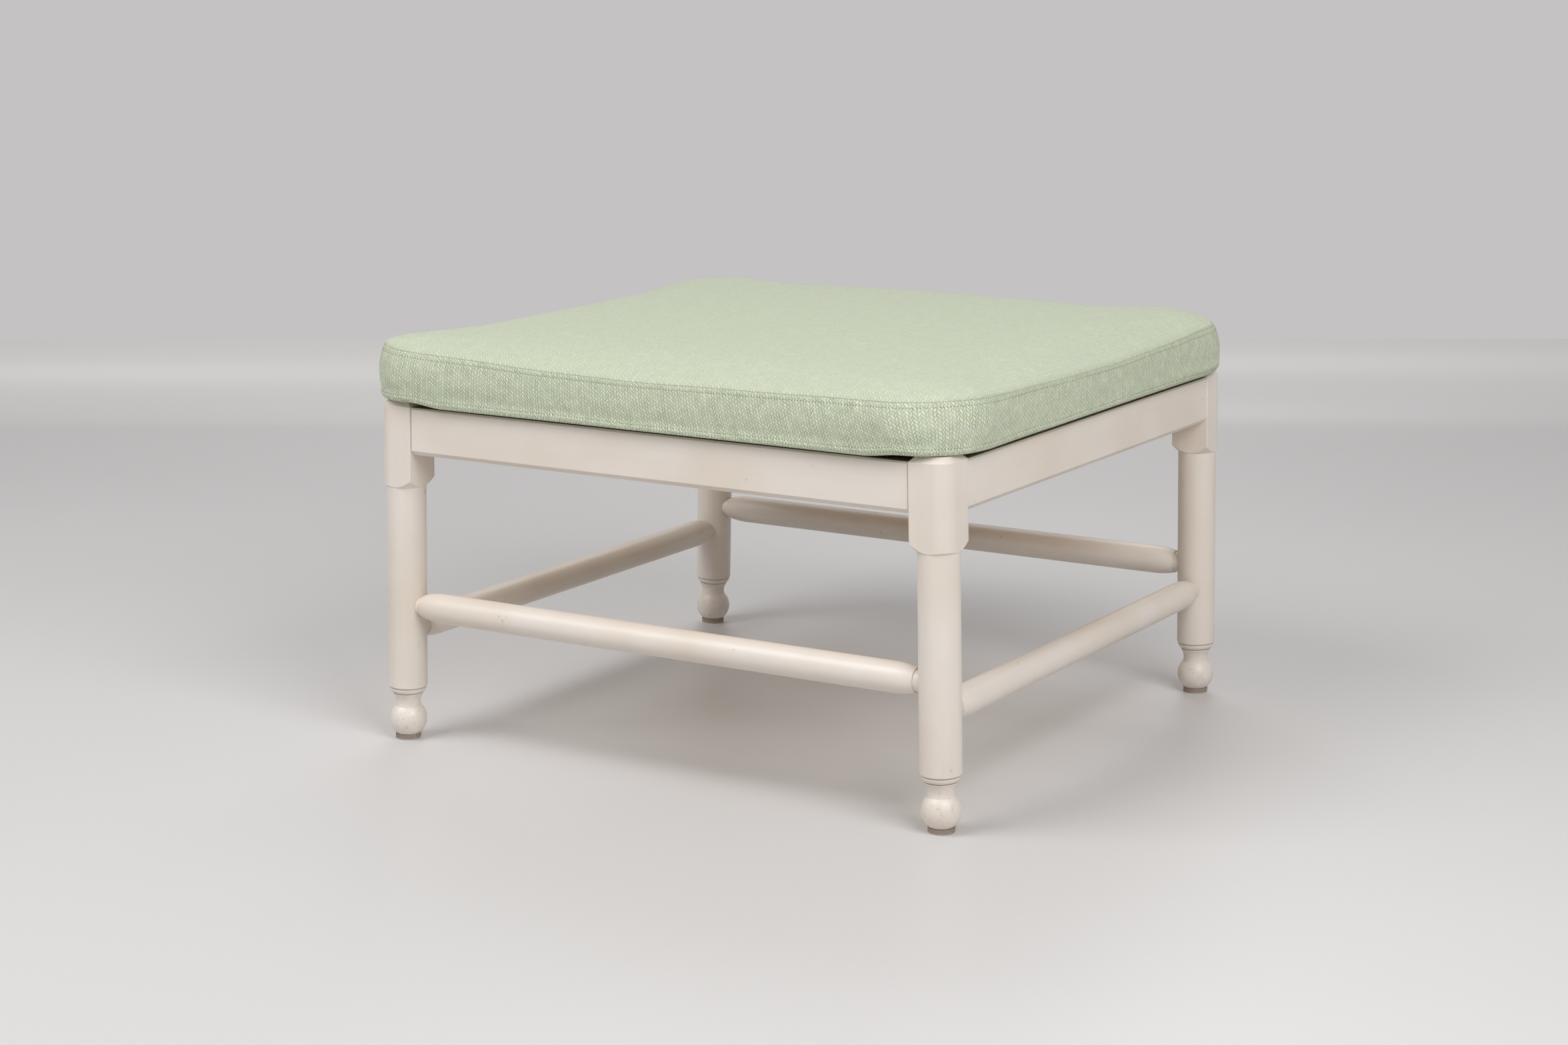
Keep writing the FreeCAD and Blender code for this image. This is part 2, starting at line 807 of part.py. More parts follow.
def cleat_screw_places():
    """Screws through each cleat into its rail, evenly spaced."""
    count = int(SIZES["cleat_screw_count"])
    pitch = CLEAT_HALF.value * 2 / count
    y = (FRONT_INNER_Y - s.cleat_width).value
    z = (SLAT_BOTTOM - s.cleat_height / 2).value
    xs = [pitch * (number + 1 / 2) - CLEAT_HALF.value for number in range(count)]
    return [towards(x, j * y, z, Vector(0, j, 0)) for x in xs for j in (1, -1)]


def slat_low_x(number):
    """The lower x end of a slat, counted from 0 on the left."""
    first = s.slat_side_gap - HEAD_INNER_X
    pitch = (-first * 2 - s.slat_width) / (s.slat_count - 1)
    return first + pitch * number


def slat_screw_places():
    """One screw down through each end of each slat, over the middle of the cleats."""
    y = (FRONT_INNER_Y - s.cleat_width / 2).value
    places = []
    for number in range(int(SIZES["slat_count"])):
        x = (slat_low_x(number) + s.slat_width / 2).value
        places += [Placement(Vector(x, j * y, SLAT_TOP.value), Rotation()) for j in (1, -1)]
    return places


def make_screws():
    """The three groups of screws, each as a plain form for its holes and a kept group."""
    long_screw = screw_form("rail_screw", s.rail_screw_length)
    short_screw = screw_form("slat_screw", s.slat_screw_length)
    long_cross = recessed("rail_screw_recessed", long_screw)
    short_cross = recessed("slat_screw_recessed", short_screw)
    groups = {
        "corner_block_screws": (long_screw, long_cross, block_screw_places()),
        "cleat_screws": (long_screw, long_cross, cleat_screw_places()),
        "slat_screws": (short_screw, short_cross, slat_screw_places()),
    }
    holes = {}
    for name, (plain, crossed, places) in groups.items():
        holes[name] = group_of(f"{name}_holes", plain, places)
        keep(group_of(name, crossed, places), name)
    return holes


def make_counterbores():
    """The wells that let the front right block's screw heads down from its slanting face."""
    z = SLAT_BOTTOM - s.block_height / 2
    wells = []
    for number, (x, y, axis) in enumerate((
        (SIDE_INNER_X - BLOCK_SCREW, s.block_grip - FRONT_INNER_Y, Vector(0, 1, 0)),
        (SIDE_INNER_X - s.block_grip, BLOCK_SCREW - FRONT_INNER_Y, Vector(-1, 0, 0)),
    )):
        well = add("Part::Cylinder", f"well_{number}", Radius=s.screw_head_radius, Height=s.block_width)
        well.Placement = Placement(Vector(), Rotation(Vector(0, 0, 1), axis))
        move(well, x, y, z)
        wells.append(well)
    return wells


def make_blocks(holes):
    """The four corner blocks."""
    wells = make_counterbores()
    tools = [holes["corner_block_screws"], holes["slat_screws"]] + wells
    front_right = cut("corner_block_front_right", make_block(), *tools)
    front_left = mirror_x("corner_block_front_left", front_right)
    keep(front_right, "corner_block_front_right")
    keep(front_left, "corner_block_front_left")
    keep(mirror_y("corner_block_back_right", front_right), "corner_block_back_right")
    keep(mirror_y("corner_block_back_left", front_left), "corner_block_back_left")


def make_cleats(holes):
    """The two cleats that carry the slats, on the front and back rails."""
    bar = add("Part::Box", "cleat_bar", Length=CLEAT_HALF * 2, Width=s.cleat_width, Height=s.cleat_height)
    move(bar, -CLEAT_HALF, -FRONT_INNER_Y, SLAT_BOTTOM - s.cleat_height)
    front = cut("cleat_front", bar, holes["cleat_screws"], holes["slat_screws"])
    keep(front, "cleat_front")
    keep(mirror_y("cleat_back", front), "cleat_back")


def make_slats(holes):
    """The slats, front to back, with their long upper edges eased."""
    half = FRONT_INNER_Y - s.slat_end_gap
    for number in range(int(SIZES["slat_count"])):
        body = new_body(f"slat_form_{number + 1}")
        section = sketch_on(body, f"slat_section_{number + 1}", "XZ_Plane", -half)
        low = slat_low_x(number)
        high = low + s.slat_width
        points = [
            (low, SLAT_BOTTOM),
            (high, SLAT_BOTTOM),
            (high, SLAT_TOP - s.slat_edge),
            (high - s.slat_edge, SLAT_TOP),
            (low + s.slat_edge, SLAT_TOP),
            (low, SLAT_TOP - s.slat_edge),
        ]
        outline(section, points)
        pad(body, section, half * 2)
        keep(cut(f"seat_slat_{number + 1}", body, holes["slat_screws"]), f"seat_slat_{number + 1}")


def make_rails(dowels, holes):
    """The four rails, cut for their dowels and screws."""
    fixings = [dowels, holes["cleat_screws"], holes["corner_block_screws"]]
    front = cut("rail_front", make_front_rail(), *fixings)
    right = cut("rail_right", make_side_rail(), dowels, holes["corner_block_screws"])
    keep(front, "rail_front")
    keep(mirror_y("rail_back", front), "rail_back")
    keep(right, "rail_right")
    keep(mirror_x("rail_left", right), "rail_left")


# Cushion


def cushion_ring(half_x, half_y, corner, pull, z):
    """A level ring round the cushion: round corners, and sides drawn in by pull at their middles."""
    edges = []
    square = (1 - math.sqrt(1 / 2)) * corner
    for i, j in ((1, -1), (1, 1), (-1, 1), (-1, -1)):
        near_x, near_y = i * (half_x - corner), j * (half_y - corner)
        first, last = Vector(near_x, j * half_y, z), Vector(i * half_x, near_y, z)
        middle = Vector(i * (half_x - square), j * (half_y - square), z)
        if i == j:
            first, last = last, first
        edges.append(Part.Arc(first, middle, last).toShape())
        if i == j:
            side = (Vector(0, j * (half_y - pull), z), Vector(-near_x, j * half_y, z))
        else:
            side = (Vector(i * (half_x - pull), 0, z), Vector(i * half_x, -near_y, z))
        edges.append(Part.Arc(last, side[0], side[1]).toShape())
    return Part.Wire(edges)


def form(name, rings):
    """A closed solid lofted straight from ring to ring."""
    feature = doc.addObject("Part::Feature", name)
    feature.Shape = Part.makeLoft(rings, True, True)
    return feature


class Cushion:
    """The cushion's shape, drawn in by the same amount all round."""

    def __init__(self, name, drawn_in):
        self.name = name
        self.drawn_in = drawn_in
        self.pull = s.side_pull.value
        self.low_x = (HALF_X + s.head_half + s.cushion_overhang).value - drawn_in
        self.low_y = (HALF_Y + s.head_half + s.cushion_overhang).value - drawn_in
        self.low_z = LOWER_SEAM.value
        self.high_z = self.low_z + s.boxing_height.value
        self.low_corner = s.corner_bottom.value - drawn_in
        self.high_corner = s.corner_top.value - drawn_in

    def seam_ring(self, inset, z, corner):
        """A ring that lies inside the upper seam by an inset."""
        flare = s.cushion_flare.value - inset
        return cushion_ring(self.low_x + flare, self.low_y + flare, corner, self.pull, z)

    def band(self):
        """The upright sides between the two seams, swelling a little at mid height."""
        rings = []
        for step in range(BOXING_RINGS):
            share = step / (BOXING_RINGS - 1)
            swell = s.boxing_bulge.value * math.sin(math.pi * share)
            inset = s.cushion_flare.value * (1 - share) - swell
            corner = self.low_corner + (self.high_corner - self.low_corner) * share
            z = self.low_z + (self.high_z - self.low_z) * share
            rings.append(self.seam_ring(inset, z, corner))
        return form(f"{self.name}_band", rings)

    def crown(self):
        """The plump top above the upper seam."""
        rings = []
        height = s.crown_height.value - self.drawn_in
        reach = s.crown_reach.value
        for step in range(CROWN_RINGS):
            angle = math.pi / 2 * step / (CROWN_RINGS - 1)
            inset = reach * (1 - math.cos(angle))
            corner = self.high_corner - inset / 2
            rings.append(self.seam_ring(inset, self.high_z + height * math.sin(angle), corner))
        inset = reach + s.centre_reach.value
        top_z = self.high_z + height + s.centre_rise.value
        rings.append(self.seam_ring(inset, top_z, self.high_corner - reach / 2))
        return form(f"{self.name}_crown", rings)

    def underside(self):
        """The underside: it rests on the legs' heads and sags between them onto the slats."""
        ledge_z = CUSHION_LEDGE.value + self.drawn_in
        base_z = (SLAT_TOP + s.cushion_clearance).value + self.drawn_in
        ledge_x = (HEAD_INNER_X - s.underside_gap).value - self.drawn_in
        ledge_y = (HEAD_INNER_Y - s.underside_gap).value - self.drawn_in
        slope = s.underside_slope.value
        corner = self.low_corner
        rings = [
            cushion_ring(self.low_x, self.low_y, corner, self.pull, self.low_z),
            cushion_ring(ledge_x, ledge_y, corner / 2, self.pull, ledge_z),
            cushion_ring(ledge_x - slope, ledge_y - slope, corner, self.pull, base_z),
        ]
        return form(f"{self.name}_underside", rings)


def make_cushion():
    """The cushion: foam core, and a cover of top panel, boxing and bottom panel with a zip."""
    outer = Cushion("cover_outside", 0)
    inner = Cushion("cover_inside", s.cover_thickness.value)
    crown, band, under = outer.crown(), outer.band(), outer.underside()
    core = [inner.crown(), inner.band(), inner.underside()]
    keep(cut("cushion_top_panel", crown, core[0]), "cushion_top_panel")
    keep(cut("cushion_bottom_panel", under, core[2]), "cushion_bottom_panel")
    foam = doc.addObject("Part::MultiFuse", "cushion_foam")
    foam.Shapes = core
    keep(foam, "cushion_foam")
    side = cut("boxing_whole", band, core[1])
    gap = make_zip_gap()
    keep(cut("cushion_boxing", side, gap), "cushion_boxing")
    tape = doc.addObject("Part::Common", "cushion_zip")
    tape.Base = side
    tape.Tool = gap
    keep(tape, "cushion_zip")
    make_slider()


def make_zip_gap():
    """The block of space that the zip takes out of the back of the boxing."""
    gap = add("Part::Box", "zip_gap", Length=s.zip_length, Width=HALF_Y, Height=s.zip_width)
    move(gap, -s.zip_length / 2, HALF_Y, LOWER_SEAM + s.zip_height - s.zip_width / 2)
    return gap


def slider_seat():
    """Distance of the slider's back from the middle plane: it clears the boxing over its whole travel."""
    share = (s.zip_height + s.slider_height / 2) / s.boxing_height
    out = s.cushion_overhang + s.cushion_flare * share + s.boxing_bulge * sine(share * 180)
    corner = s.corner_bottom + (s.corner_top - s.corner_bottom) * share
    travel = s.zip_length / 2 - s.slider_inset + s.slider_length / 2
    reach = travel / (HALF_X + s.head_half + out - corner)
    return HALF_Y + s.head_half + out - s.side_pull * (1 - reach * reach) + s.slider_gap


def box_about(name, centre_x, low_y, centre_z, length, depth, height):
    """A box centred along X and Z that starts at a place along Y."""
    block = add("Part::Box", name, Length=length, Width=depth, Height=height)
    move(block, centre_x - length / 2, low_y, centre_z - height / 2)
    return block


def upright_pin(name, x, y, centre_z, radius, length):
    """A cylinder along Z, centred in height."""
    pin = add("Part::Cylinder", name, Radius=radius, Height=length)
    move(pin, x, y, centre_z - length / 2)
    return pin


def make_slider():
    """The zip's slider with its two lugs, and the pull tab on its pin, at the left end of the zip."""
    x, y, z = s.slider_inset - s.zip_length / 2, slider_seat(), LOWER_SEAM + s.zip_height
    face_y = y + s.slider_depth
    pin_y = face_y + s.lug_depth / 2
    lug_span = s.pull_width + (s.pin_gap + s.lug_width) * 2
    slot_width = s.pull_width + s.pin_gap * 2
    plate = box_about("slider_plate", x, y, z, s.slider_length, s.slider_depth, s.slider_height)
    lugs = box_about("slider_lugs", x, y, z, s.lug_length, s.slider_depth + s.lug_depth, lug_span)
    slot = box_about("slider_slot", x, face_y, z, s.lug_length, s.lug_depth, slot_width)
    hole = upright_pin("slider_hole", x, pin_y, z, s.pin_radius + s.pin_gap, lug_span)
    whole = doc.addObject("Part::Fuse", "slider_whole")
    whole.Base = plate
    whole.Tool = lugs
    keep(cut("zip_slider", whole, slot, hole), "zip_slider")
    middle_x = x + s.pull_length / 2
    low_y = pin_y - s.pull_thickness / 2
    tab = box_about("pull_tab", middle_x, low_y, z, s.pull_length, s.pull_thickness, s.pull_width)
    pull = doc.addObject("Part::Fuse", "zip_pull")
    pull.Base = tab
    pull.Tool = upright_pin("pull_pin", x, pin_y, z, s.pin_radius, lug_span)
    keep(pull, "zip_pull")
    print(f"pull tab turns about x {x.value:.3f}, y {pin_y.value:.3f}, z {z.value:.3f}")


# The whole stool


def check():
    """Stops if any object failed or any piece has no sound shape."""
    for item in doc.Objects:
        if "Invalid" in item.State or "Error" in item.State:
            raise RuntimeError(f"{item.Name} failed: {item.State}")
    for piece in pieces:
        if piece.Shape.isNull() or not piece.Shape.isValid() or piece.Shape.Volume <= 0:
            raise RuntimeError(f"{piece.Label} has no sound shape")


def main():
    """Builds the stool, checks it and writes one file for each piece."""
    dowels = make_dowels()
    nails = make_glides()
    make_legs(dowels, nails)
    make_stretchers()
    holes = make_screws()
    make_rails(dowels, holes)
    make_blocks(holes)
    make_cleats(holes)
    make_slats(holes)
    make_cushion()
    doc.recompute()
    check()
    os.makedirs("parts", exist_ok=True)
    for piece in pieces:
        piece.Shape.exportStep(f"parts/{piece.Label}.step")
        print(f"{piece.Label}: {len(piece.Shape.Solids)} solids, {piece.Shape.Volume:.0f} mm3")


main()
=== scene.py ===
"""A low turned footstool in off-white paint with a loose box cushion in pale green cloth.

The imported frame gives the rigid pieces. This script dresses them, makes the cushion's cloth, foam, stitching
and zip around them, and sets up the studio and the camera. Lengths are metres, +Z is up.
"""

from __future__ import annotations

import json
import logging
import math
from dataclasses import dataclass
from enum import Enum
from typing import Callable

import bpy
import numpy as np
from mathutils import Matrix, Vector

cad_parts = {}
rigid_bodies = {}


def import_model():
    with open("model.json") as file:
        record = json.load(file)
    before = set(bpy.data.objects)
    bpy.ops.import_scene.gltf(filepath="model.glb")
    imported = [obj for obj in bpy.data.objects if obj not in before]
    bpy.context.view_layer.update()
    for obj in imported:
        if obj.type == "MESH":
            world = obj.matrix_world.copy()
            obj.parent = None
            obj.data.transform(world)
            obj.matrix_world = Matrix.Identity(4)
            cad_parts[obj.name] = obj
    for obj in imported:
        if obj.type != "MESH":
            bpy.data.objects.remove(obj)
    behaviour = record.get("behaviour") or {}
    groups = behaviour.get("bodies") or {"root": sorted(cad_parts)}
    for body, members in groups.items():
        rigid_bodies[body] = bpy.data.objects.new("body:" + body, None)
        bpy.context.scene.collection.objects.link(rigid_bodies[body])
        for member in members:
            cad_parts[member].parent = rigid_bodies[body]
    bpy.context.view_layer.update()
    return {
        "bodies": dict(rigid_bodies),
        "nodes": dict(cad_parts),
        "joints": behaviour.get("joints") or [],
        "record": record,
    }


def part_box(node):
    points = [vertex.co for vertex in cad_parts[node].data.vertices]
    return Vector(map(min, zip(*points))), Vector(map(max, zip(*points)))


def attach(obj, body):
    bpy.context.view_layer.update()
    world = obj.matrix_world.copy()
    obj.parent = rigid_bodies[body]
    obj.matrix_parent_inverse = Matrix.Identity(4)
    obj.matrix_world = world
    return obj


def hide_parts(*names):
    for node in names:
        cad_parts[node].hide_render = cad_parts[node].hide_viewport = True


log = logging.getLogger("footstool")

MM = 0.001

# Below these, in square metres and in metres, a cell of a grid or a move counts as nothing.
SMALLEST_AREA = 1e-12
SMALLEST_MOVE = 1e-9


class Axis(Enum):
    """The direction in which a piece's wood grain runs, as the number of a coordinate."""

    X = 0
    Y = 1
    Z = 2

    def scale(self, width: float, length: float) -> list[float]:
        """Works out the scale of a pattern that is stretched along the grain.

        Args:
            width: the pattern's size across the grain.
            length: its size along the grain.

        Returns:
            A scale for each coordinate.
        """
        scale = [1 / width] * 3
        scale[self.value] = 1 / length
        return scale


class Kind(Enum):
    """Blender's kinds of node that this script uses."""

    ALIGN = "FunctionNodeAlignRotationToVector"
    BACKGROUND = "ShaderNodeBackground"
    BEVEL = "ShaderNodeBevel"
    BUMP = "ShaderNodeBump"
    CELLS = "ShaderNodeTexVoronoi"
    CHANCE = "ShaderNodeTexWhiteNoise"
    CHECKER = "ShaderNodeTexChecker"
    COORDINATES = "ShaderNodeTexCoord"
    CURVE = "GeometryNodeMeshToCurve"
    GROUP_IN = "NodeGroupInput"
    GROUP_OUT = "NodeGroupOutput"
    INSTANCES = "GeometryNodeInstanceOnPoints"
    JOIN_XYZ = "ShaderNodeCombineXYZ"
    LIGHT_PATH = "ShaderNodeLightPath"
    MAPPING = "ShaderNodeMapping"
    MATH = "ShaderNodeMath"
    MIX = "ShaderNodeMix"
    MIX_SHADERS = "ShaderNodeMixShader"
    NOISE = "ShaderNodeTexNoise"
    RANGE = "ShaderNodeMapRange"
    REALIZE = "GeometryNodeRealizeInstances"
    RESAMPLE = "GeometryNodeResampleCurve"
    SET_MATERIAL = "GeometryNodeSetMaterial"
    SPHERE = "GeometryNodeMeshUVSphere"
    SPLIT_COLOUR = "ShaderNodeSeparateColor"
    SPLIT_XYZ = "ShaderNodeSeparateXYZ"
    TANGENT = "GeometryNodeInputTangent"
    UV_MAP = "ShaderNodeUVMap"
    VECTOR_MATH = "ShaderNodeVectorMath"


# Colours and nodes


def linear(colour: str) -> tuple[float, float, float, float]:
    """Turns an sRGB hex colour into the linear colour that a shader takes.

    Args:
        colour: six hex digits after a hash sign.

    Returns:
        Red, green, blue and an alpha of 1.
    """
    parts = [int(colour[start:start + 2], 16) / 255 for start in (1, 3, 5)]
    light = [part / 12.92 if part <= 0.04045 else ((part + 0.055) / 1.055) ** 2.4 for part in parts]
    return (*light, 1.0)


def set_inputs(tree: bpy.types.NodeTree, node: bpy.types.Node, inputs: dict) -> None:
    """Sets a node's inputs, and links those that are given a node or a socket.

    Args:
        tree: the node's tree.
        node: the node.
        inputs: values, nodes or output sockets, by the input's name or number. A node gives its first
            output.
    """
    for key, value in inputs.items():
        if isinstance(value, bpy.types.Node):
            value = value.outputs[0]
        if isinstance(value, bpy.types.NodeSocket):
            tree.links.new(value, node.inputs[key])
        else:
            node.inputs[key].default_value = value


def add_node(
    tree: bpy.types.NodeTree, kind: Kind, inputs: dict | None = None, **settings: object
) -> bpy.types.Node:
    """Adds a node with its settings and links.

    Args:
        tree: the tree that the node goes into.
        kind: the kind of node.
        inputs: values, nodes or output sockets, as for set_inputs.
        settings: the node's own properties.

    Returns:
        The new node.
    """
    node = tree.nodes.new(kind.value)
    for name, value in settings.items():
        setattr(node, name, value)
    set_inputs(tree, node, inputs or {})
    return node


def lay_colours(
    tree: bpy.types.NodeTree, lowest: str, *layers: tuple[object, str]
) -> bpy.types.NodeSocket:
    """Lays colours over one another.

    Args:
        tree: the material's node tree.
        lowest: the sRGB hex of the lowest colour.
        layers: for each colour over it, the node or socket that says how much of it shows, and its sRGB hex.

    Returns:
        The socket of the colour that they give.
    """
    colour = linear(lowest)
    for amount, shade in layers:
        # The colours are sockets 6, 7 and 2 of the node: its other types share their names.
        inputs = {0: amount, 6: colour, 7: linear(shade)}
        colour = add_node(tree, Kind.MIX, inputs, data_type="RGBA").outputs[2]
    return colour


@dataclass(frozen=True)
class Ramp:
    """How a measure turns into an amount: where the ramp starts and ends, and the amounts there."""

    start: float = 0.0
    end: float = 1.0
    least: float = 0.0
    most: float = 1.0

    def of(self, measure: object) -> dict[str | int, object]:
        """The inputs of a Map Range node that reads a measure."""
        return {"Value": measure, 1: self.start, 2: self.end, 3: self.least, 4: self.most}


# Finishes


@dataclass(frozen=True)
class Finish:
    """What every finish has: a name, and a material that is made once."""

    name: str

    def material(self) -> bpy.types.Material:
        """Makes the material at its first use.

        Returns:
            The material.
        """
        found = bpy.data.materials.get(self.name)
        if found:
            return found
        made = bpy.data.materials.new(self.name)
        made.use_nodes = True
        tree = made.node_tree
        set_inputs(tree, tree.nodes["Principled BSDF"], self.surface(tree))
        return made

    def surface(self, tree: bpy.types.NodeTree) -> dict[str, object]:
        """Adds the finish's nodes, and returns the inputs of its shader."""
        raise NotImplementedError


@dataclass(frozen=True)
class PaintedWood(Finish):
    """Satin enamel, sprayed on turned and planed beech.

    The eye sees a warm off-white with a soft sheen, faint streaks along the grain, slightly yellowed and
    greyed patches, a few small dents, rubbed, darker paint near the floor, and rail tops that are painted
    dark under the cushion, as the shade that the cushion casts.
    """

    name: str = "satin_enamel_on_beech"
    grain: Axis = Axis.Z
    paint: str = "#E5DCD3"
    yellowed: str = "#D9CAB7"
    greyed: str = "#CFC8BE"
    scuffed: str = "#A2917C"
    # Painted shade: the dark colour of the rail tops under the cushion.
    cushion_shade: str = "#75654F"
    streak_width: float = 5 * MM
    streak_length: float = 160 * MM
    patch: float = 90 * MM
    dent: float = 9 * MM
    rub: float = 4 * MM
    peel: float = 2.2 * MM
    edge: float = 0.7 * MM
    foot_top: float = 75 * MM
    foot_rub: float = 0.35
    shade_depth: float = 0.4 * MM
    patchy: Ramp = Ramp(0.42, 0.68, most=0.45)
    streaky: Ramp = Ramp(0.35, 0.75, most=0.12)
    dented: Ramp = Ramp(0.755, 0.80, most=0.3)
    rubbed: Ramp = Ramp(0.56, 0.7)
    roughness: Ramp = Ramp(least=0.31, most=0.46)

    def surface(self, tree: bpy.types.NodeTree) -> dict[str, object]:
        """Adds streaks, patches, dents, a rubbed foot and painted shade on the rail tops under the cushion.

        Args:
            tree: the material's node tree.

        Returns:
            The shader's inputs.
        """
        place = add_node(tree, Kind.COORDINATES).outputs["Object"]
        height = add_node(tree, Kind.SPLIT_XYZ, {0: place}).outputs["Z"]
        stretch = self.grain.scale(self.streak_width, self.streak_length)
        along = add_node(tree, Kind.MAPPING, {"Vector": place, "Scale": stretch})
        streak = add_node(tree, Kind.NOISE, {"Vector": along, "Scale": 1.0, "Detail": 3.0})
        patch = add_node(tree, Kind.NOISE, {"Vector": place, "Scale": 1 / self.patch, "Detail": 2.0})
        spots = add_node(tree, Kind.NOISE, {"Vector": place, "Scale": 1 / self.dent, "Detail": 1.0})
        rubs = add_node(tree, Kind.NOISE, {"Vector": place, "Scale": 1 / self.rub, "Detail": 6.0})
        peel = add_node(tree, Kind.NOISE, {"Vector": place, "Scale": 1 / self.peel, "Detail": 2.0})
        patchy = add_node(tree, Kind.RANGE, self.patchy.of(patch))
        streaky = add_node(tree, Kind.RANGE, self.streaky.of(streak))
        dented = add_node(tree, Kind.RANGE, self.dented.of(spots))
        low = add_node(tree, Kind.RANGE, Ramp(self.foot_top, 0.0, most=self.foot_rub).of(height))
        rubbed = add_node(tree, Kind.RANGE, self.rubbed.of(rubs) | {4: low})
        marks = add_node(tree, Kind.MATH, {0: dented, 1: rubbed}, operation="MAXIMUM")
        rail_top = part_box("rail_front")[1].z
        # The rail tops under the cushion get painted shade; the legs, whose grain is upright, get none.
        under = Ramp(rail_top - self.shade_depth, rail_top, most=0.0 if self.grain is Axis.Z else 1.0)
        painted_shade = add_node(tree, Kind.RANGE, under.of(height))
        yellow_and_grey = (patchy, self.yellowed), (streaky, self.greyed)
        # The scuffs are wear, and the last layer is painted shade on the rail tops under the cushion.
        laid_over = (marks, self.scuffed), (painted_shade, self.cushion_shade)
        soft = add_node(tree, Kind.BEVEL, {"Radius": self.edge}, samples=4)
        orange_peel = {"Height": peel, "Strength": 0.06, "Distance": 0.4 * MM, "Normal": soft}
        bump = add_node(tree, Kind.BUMP, orange_peel)
        streaks = {"Height": streak, "Strength": 0.03, "Distance": 0.4 * MM, "Normal": bump}
        bump = add_node(tree, Kind.BUMP, streaks)
        dent = add_node(tree, Kind.MATH, {0: dented, 1: -1.0}, operation="MULTIPLY")
        dents = {"Height": dent, "Strength": 0.5, "Distance": 0.5 * MM, "Normal": bump}
        return {
            "Base Color": lay_colours(tree, self.paint, *yellow_and_grey, *laid_over),
            "Roughness": add_node(tree, Kind.RANGE, self.roughness.of(patch)),
            "Normal": add_node(tree, Kind.BUMP, dents),
            "IOR": 1.5,
        }


@dataclass(frozen=True)
class BareWood(Finish):
    """Planed pine without a finish.

    The eye sees pale yellow wood with darker, uneven year rings that run along the piece, and no gloss. Its
    fibre is drawn some ten times its real width, because the real one is too fine to show.
    """

    name: str = "planed_pine"
    grain: Axis = Axis.Y
    early: str = "#E2C79B"
    late: str = "#C49A62"
    ring: float = 7 * MM
    length: float = 220 * MM
    waver: float = 0.6
    bands: float = 22.0
    fibres: float = 9.0
    ringed: Ramp = Ramp(start=-0.2, most=0.85)
    fibrous: Ramp = Ramp(0.4, 0.7, most=0.3)

    def surface(self, tree: bpy.types.NodeTree) -> dict[str, object]:
        """Adds rings that run along the grain and a fine fibre.

        Args:
            tree: the material's node tree.

        Returns:
            The shader's inputs.
        """
        place = add_node(tree, Kind.COORDINATES).outputs["Object"]
        stretch = self.grain.scale(self.ring, self.length)
        along = add_node(tree, Kind.MAPPING, {"Vector": place, "Scale": stretch})
        wavering = {"Vector": along, "Scale": self.waver, "Detail": 2.0, "Distortion": self.waver}
        rings = add_node(tree, Kind.NOISE, wavering)
        bands = add_node(tree, Kind.MATH, {0: rings, 1: self.bands}, operation="MULTIPLY")
        waves = add_node(tree, Kind.MATH, {0: bands}, operation="SINE")
        ringed = add_node(tree, Kind.RANGE, self.ringed.of(waves))
        fibre = add_node(tree, Kind.NOISE, {"Vector": along, "Scale": self.fibres, "Detail": 3.0})
        fibrous = add_node(tree, Kind.RANGE, self.fibrous.of(fibre))
        return {
            "Base Color": lay_colours(tree, self.early, (ringed, self.late), (fibrous, self.late)),
            "Normal": add_node(tree, Kind.BUMP, {"Height": fibre, "Strength": 0.25, "Distance": 0.3 * MM}),
            "Roughness": 0.62,
        }


@dataclass(frozen=True)
class PlatedMetal(Finish):
    """Bright plating on steel or cast zinc.

    The eye sees a pale grey metal with a slightly uneven gloss.
    """

    name: str = "zinc_plated_steel"
    colour: str = "#BDBDB9"
    roughness: float = 0.33
    smoother: float = 0.08
    rougher: float = 0.12
    cloud: float = 1.5 * MM

    def surface(self, tree: bpy.types.NodeTree) -> dict[str, object]:
        """Adds an uneven gloss to a metal.

        Args:
            tree: the material's node tree.

        Returns:
            The shader's inputs.
        """
        place = add_node(tree, Kind.COORDINATES).outputs["Object"]
        cloud = add_node(tree, Kind.NOISE, {"Vector": place, "Scale": 1 / self.cloud, "Detail": 3.0})
        gloss = Ramp(least=self.roughness - self.smoother, most=self.roughness + self.rougher)
        return {
            "Base Color": linear(self.colour),
            "Metallic": 1.0,
            "Roughness": add_node(tree, Kind.RANGE, gloss.of(cloud)),
        }


NICKEL = PlatedMetal("nickel_plated_zinc", colour="#B4B0A6", roughness=0.28)


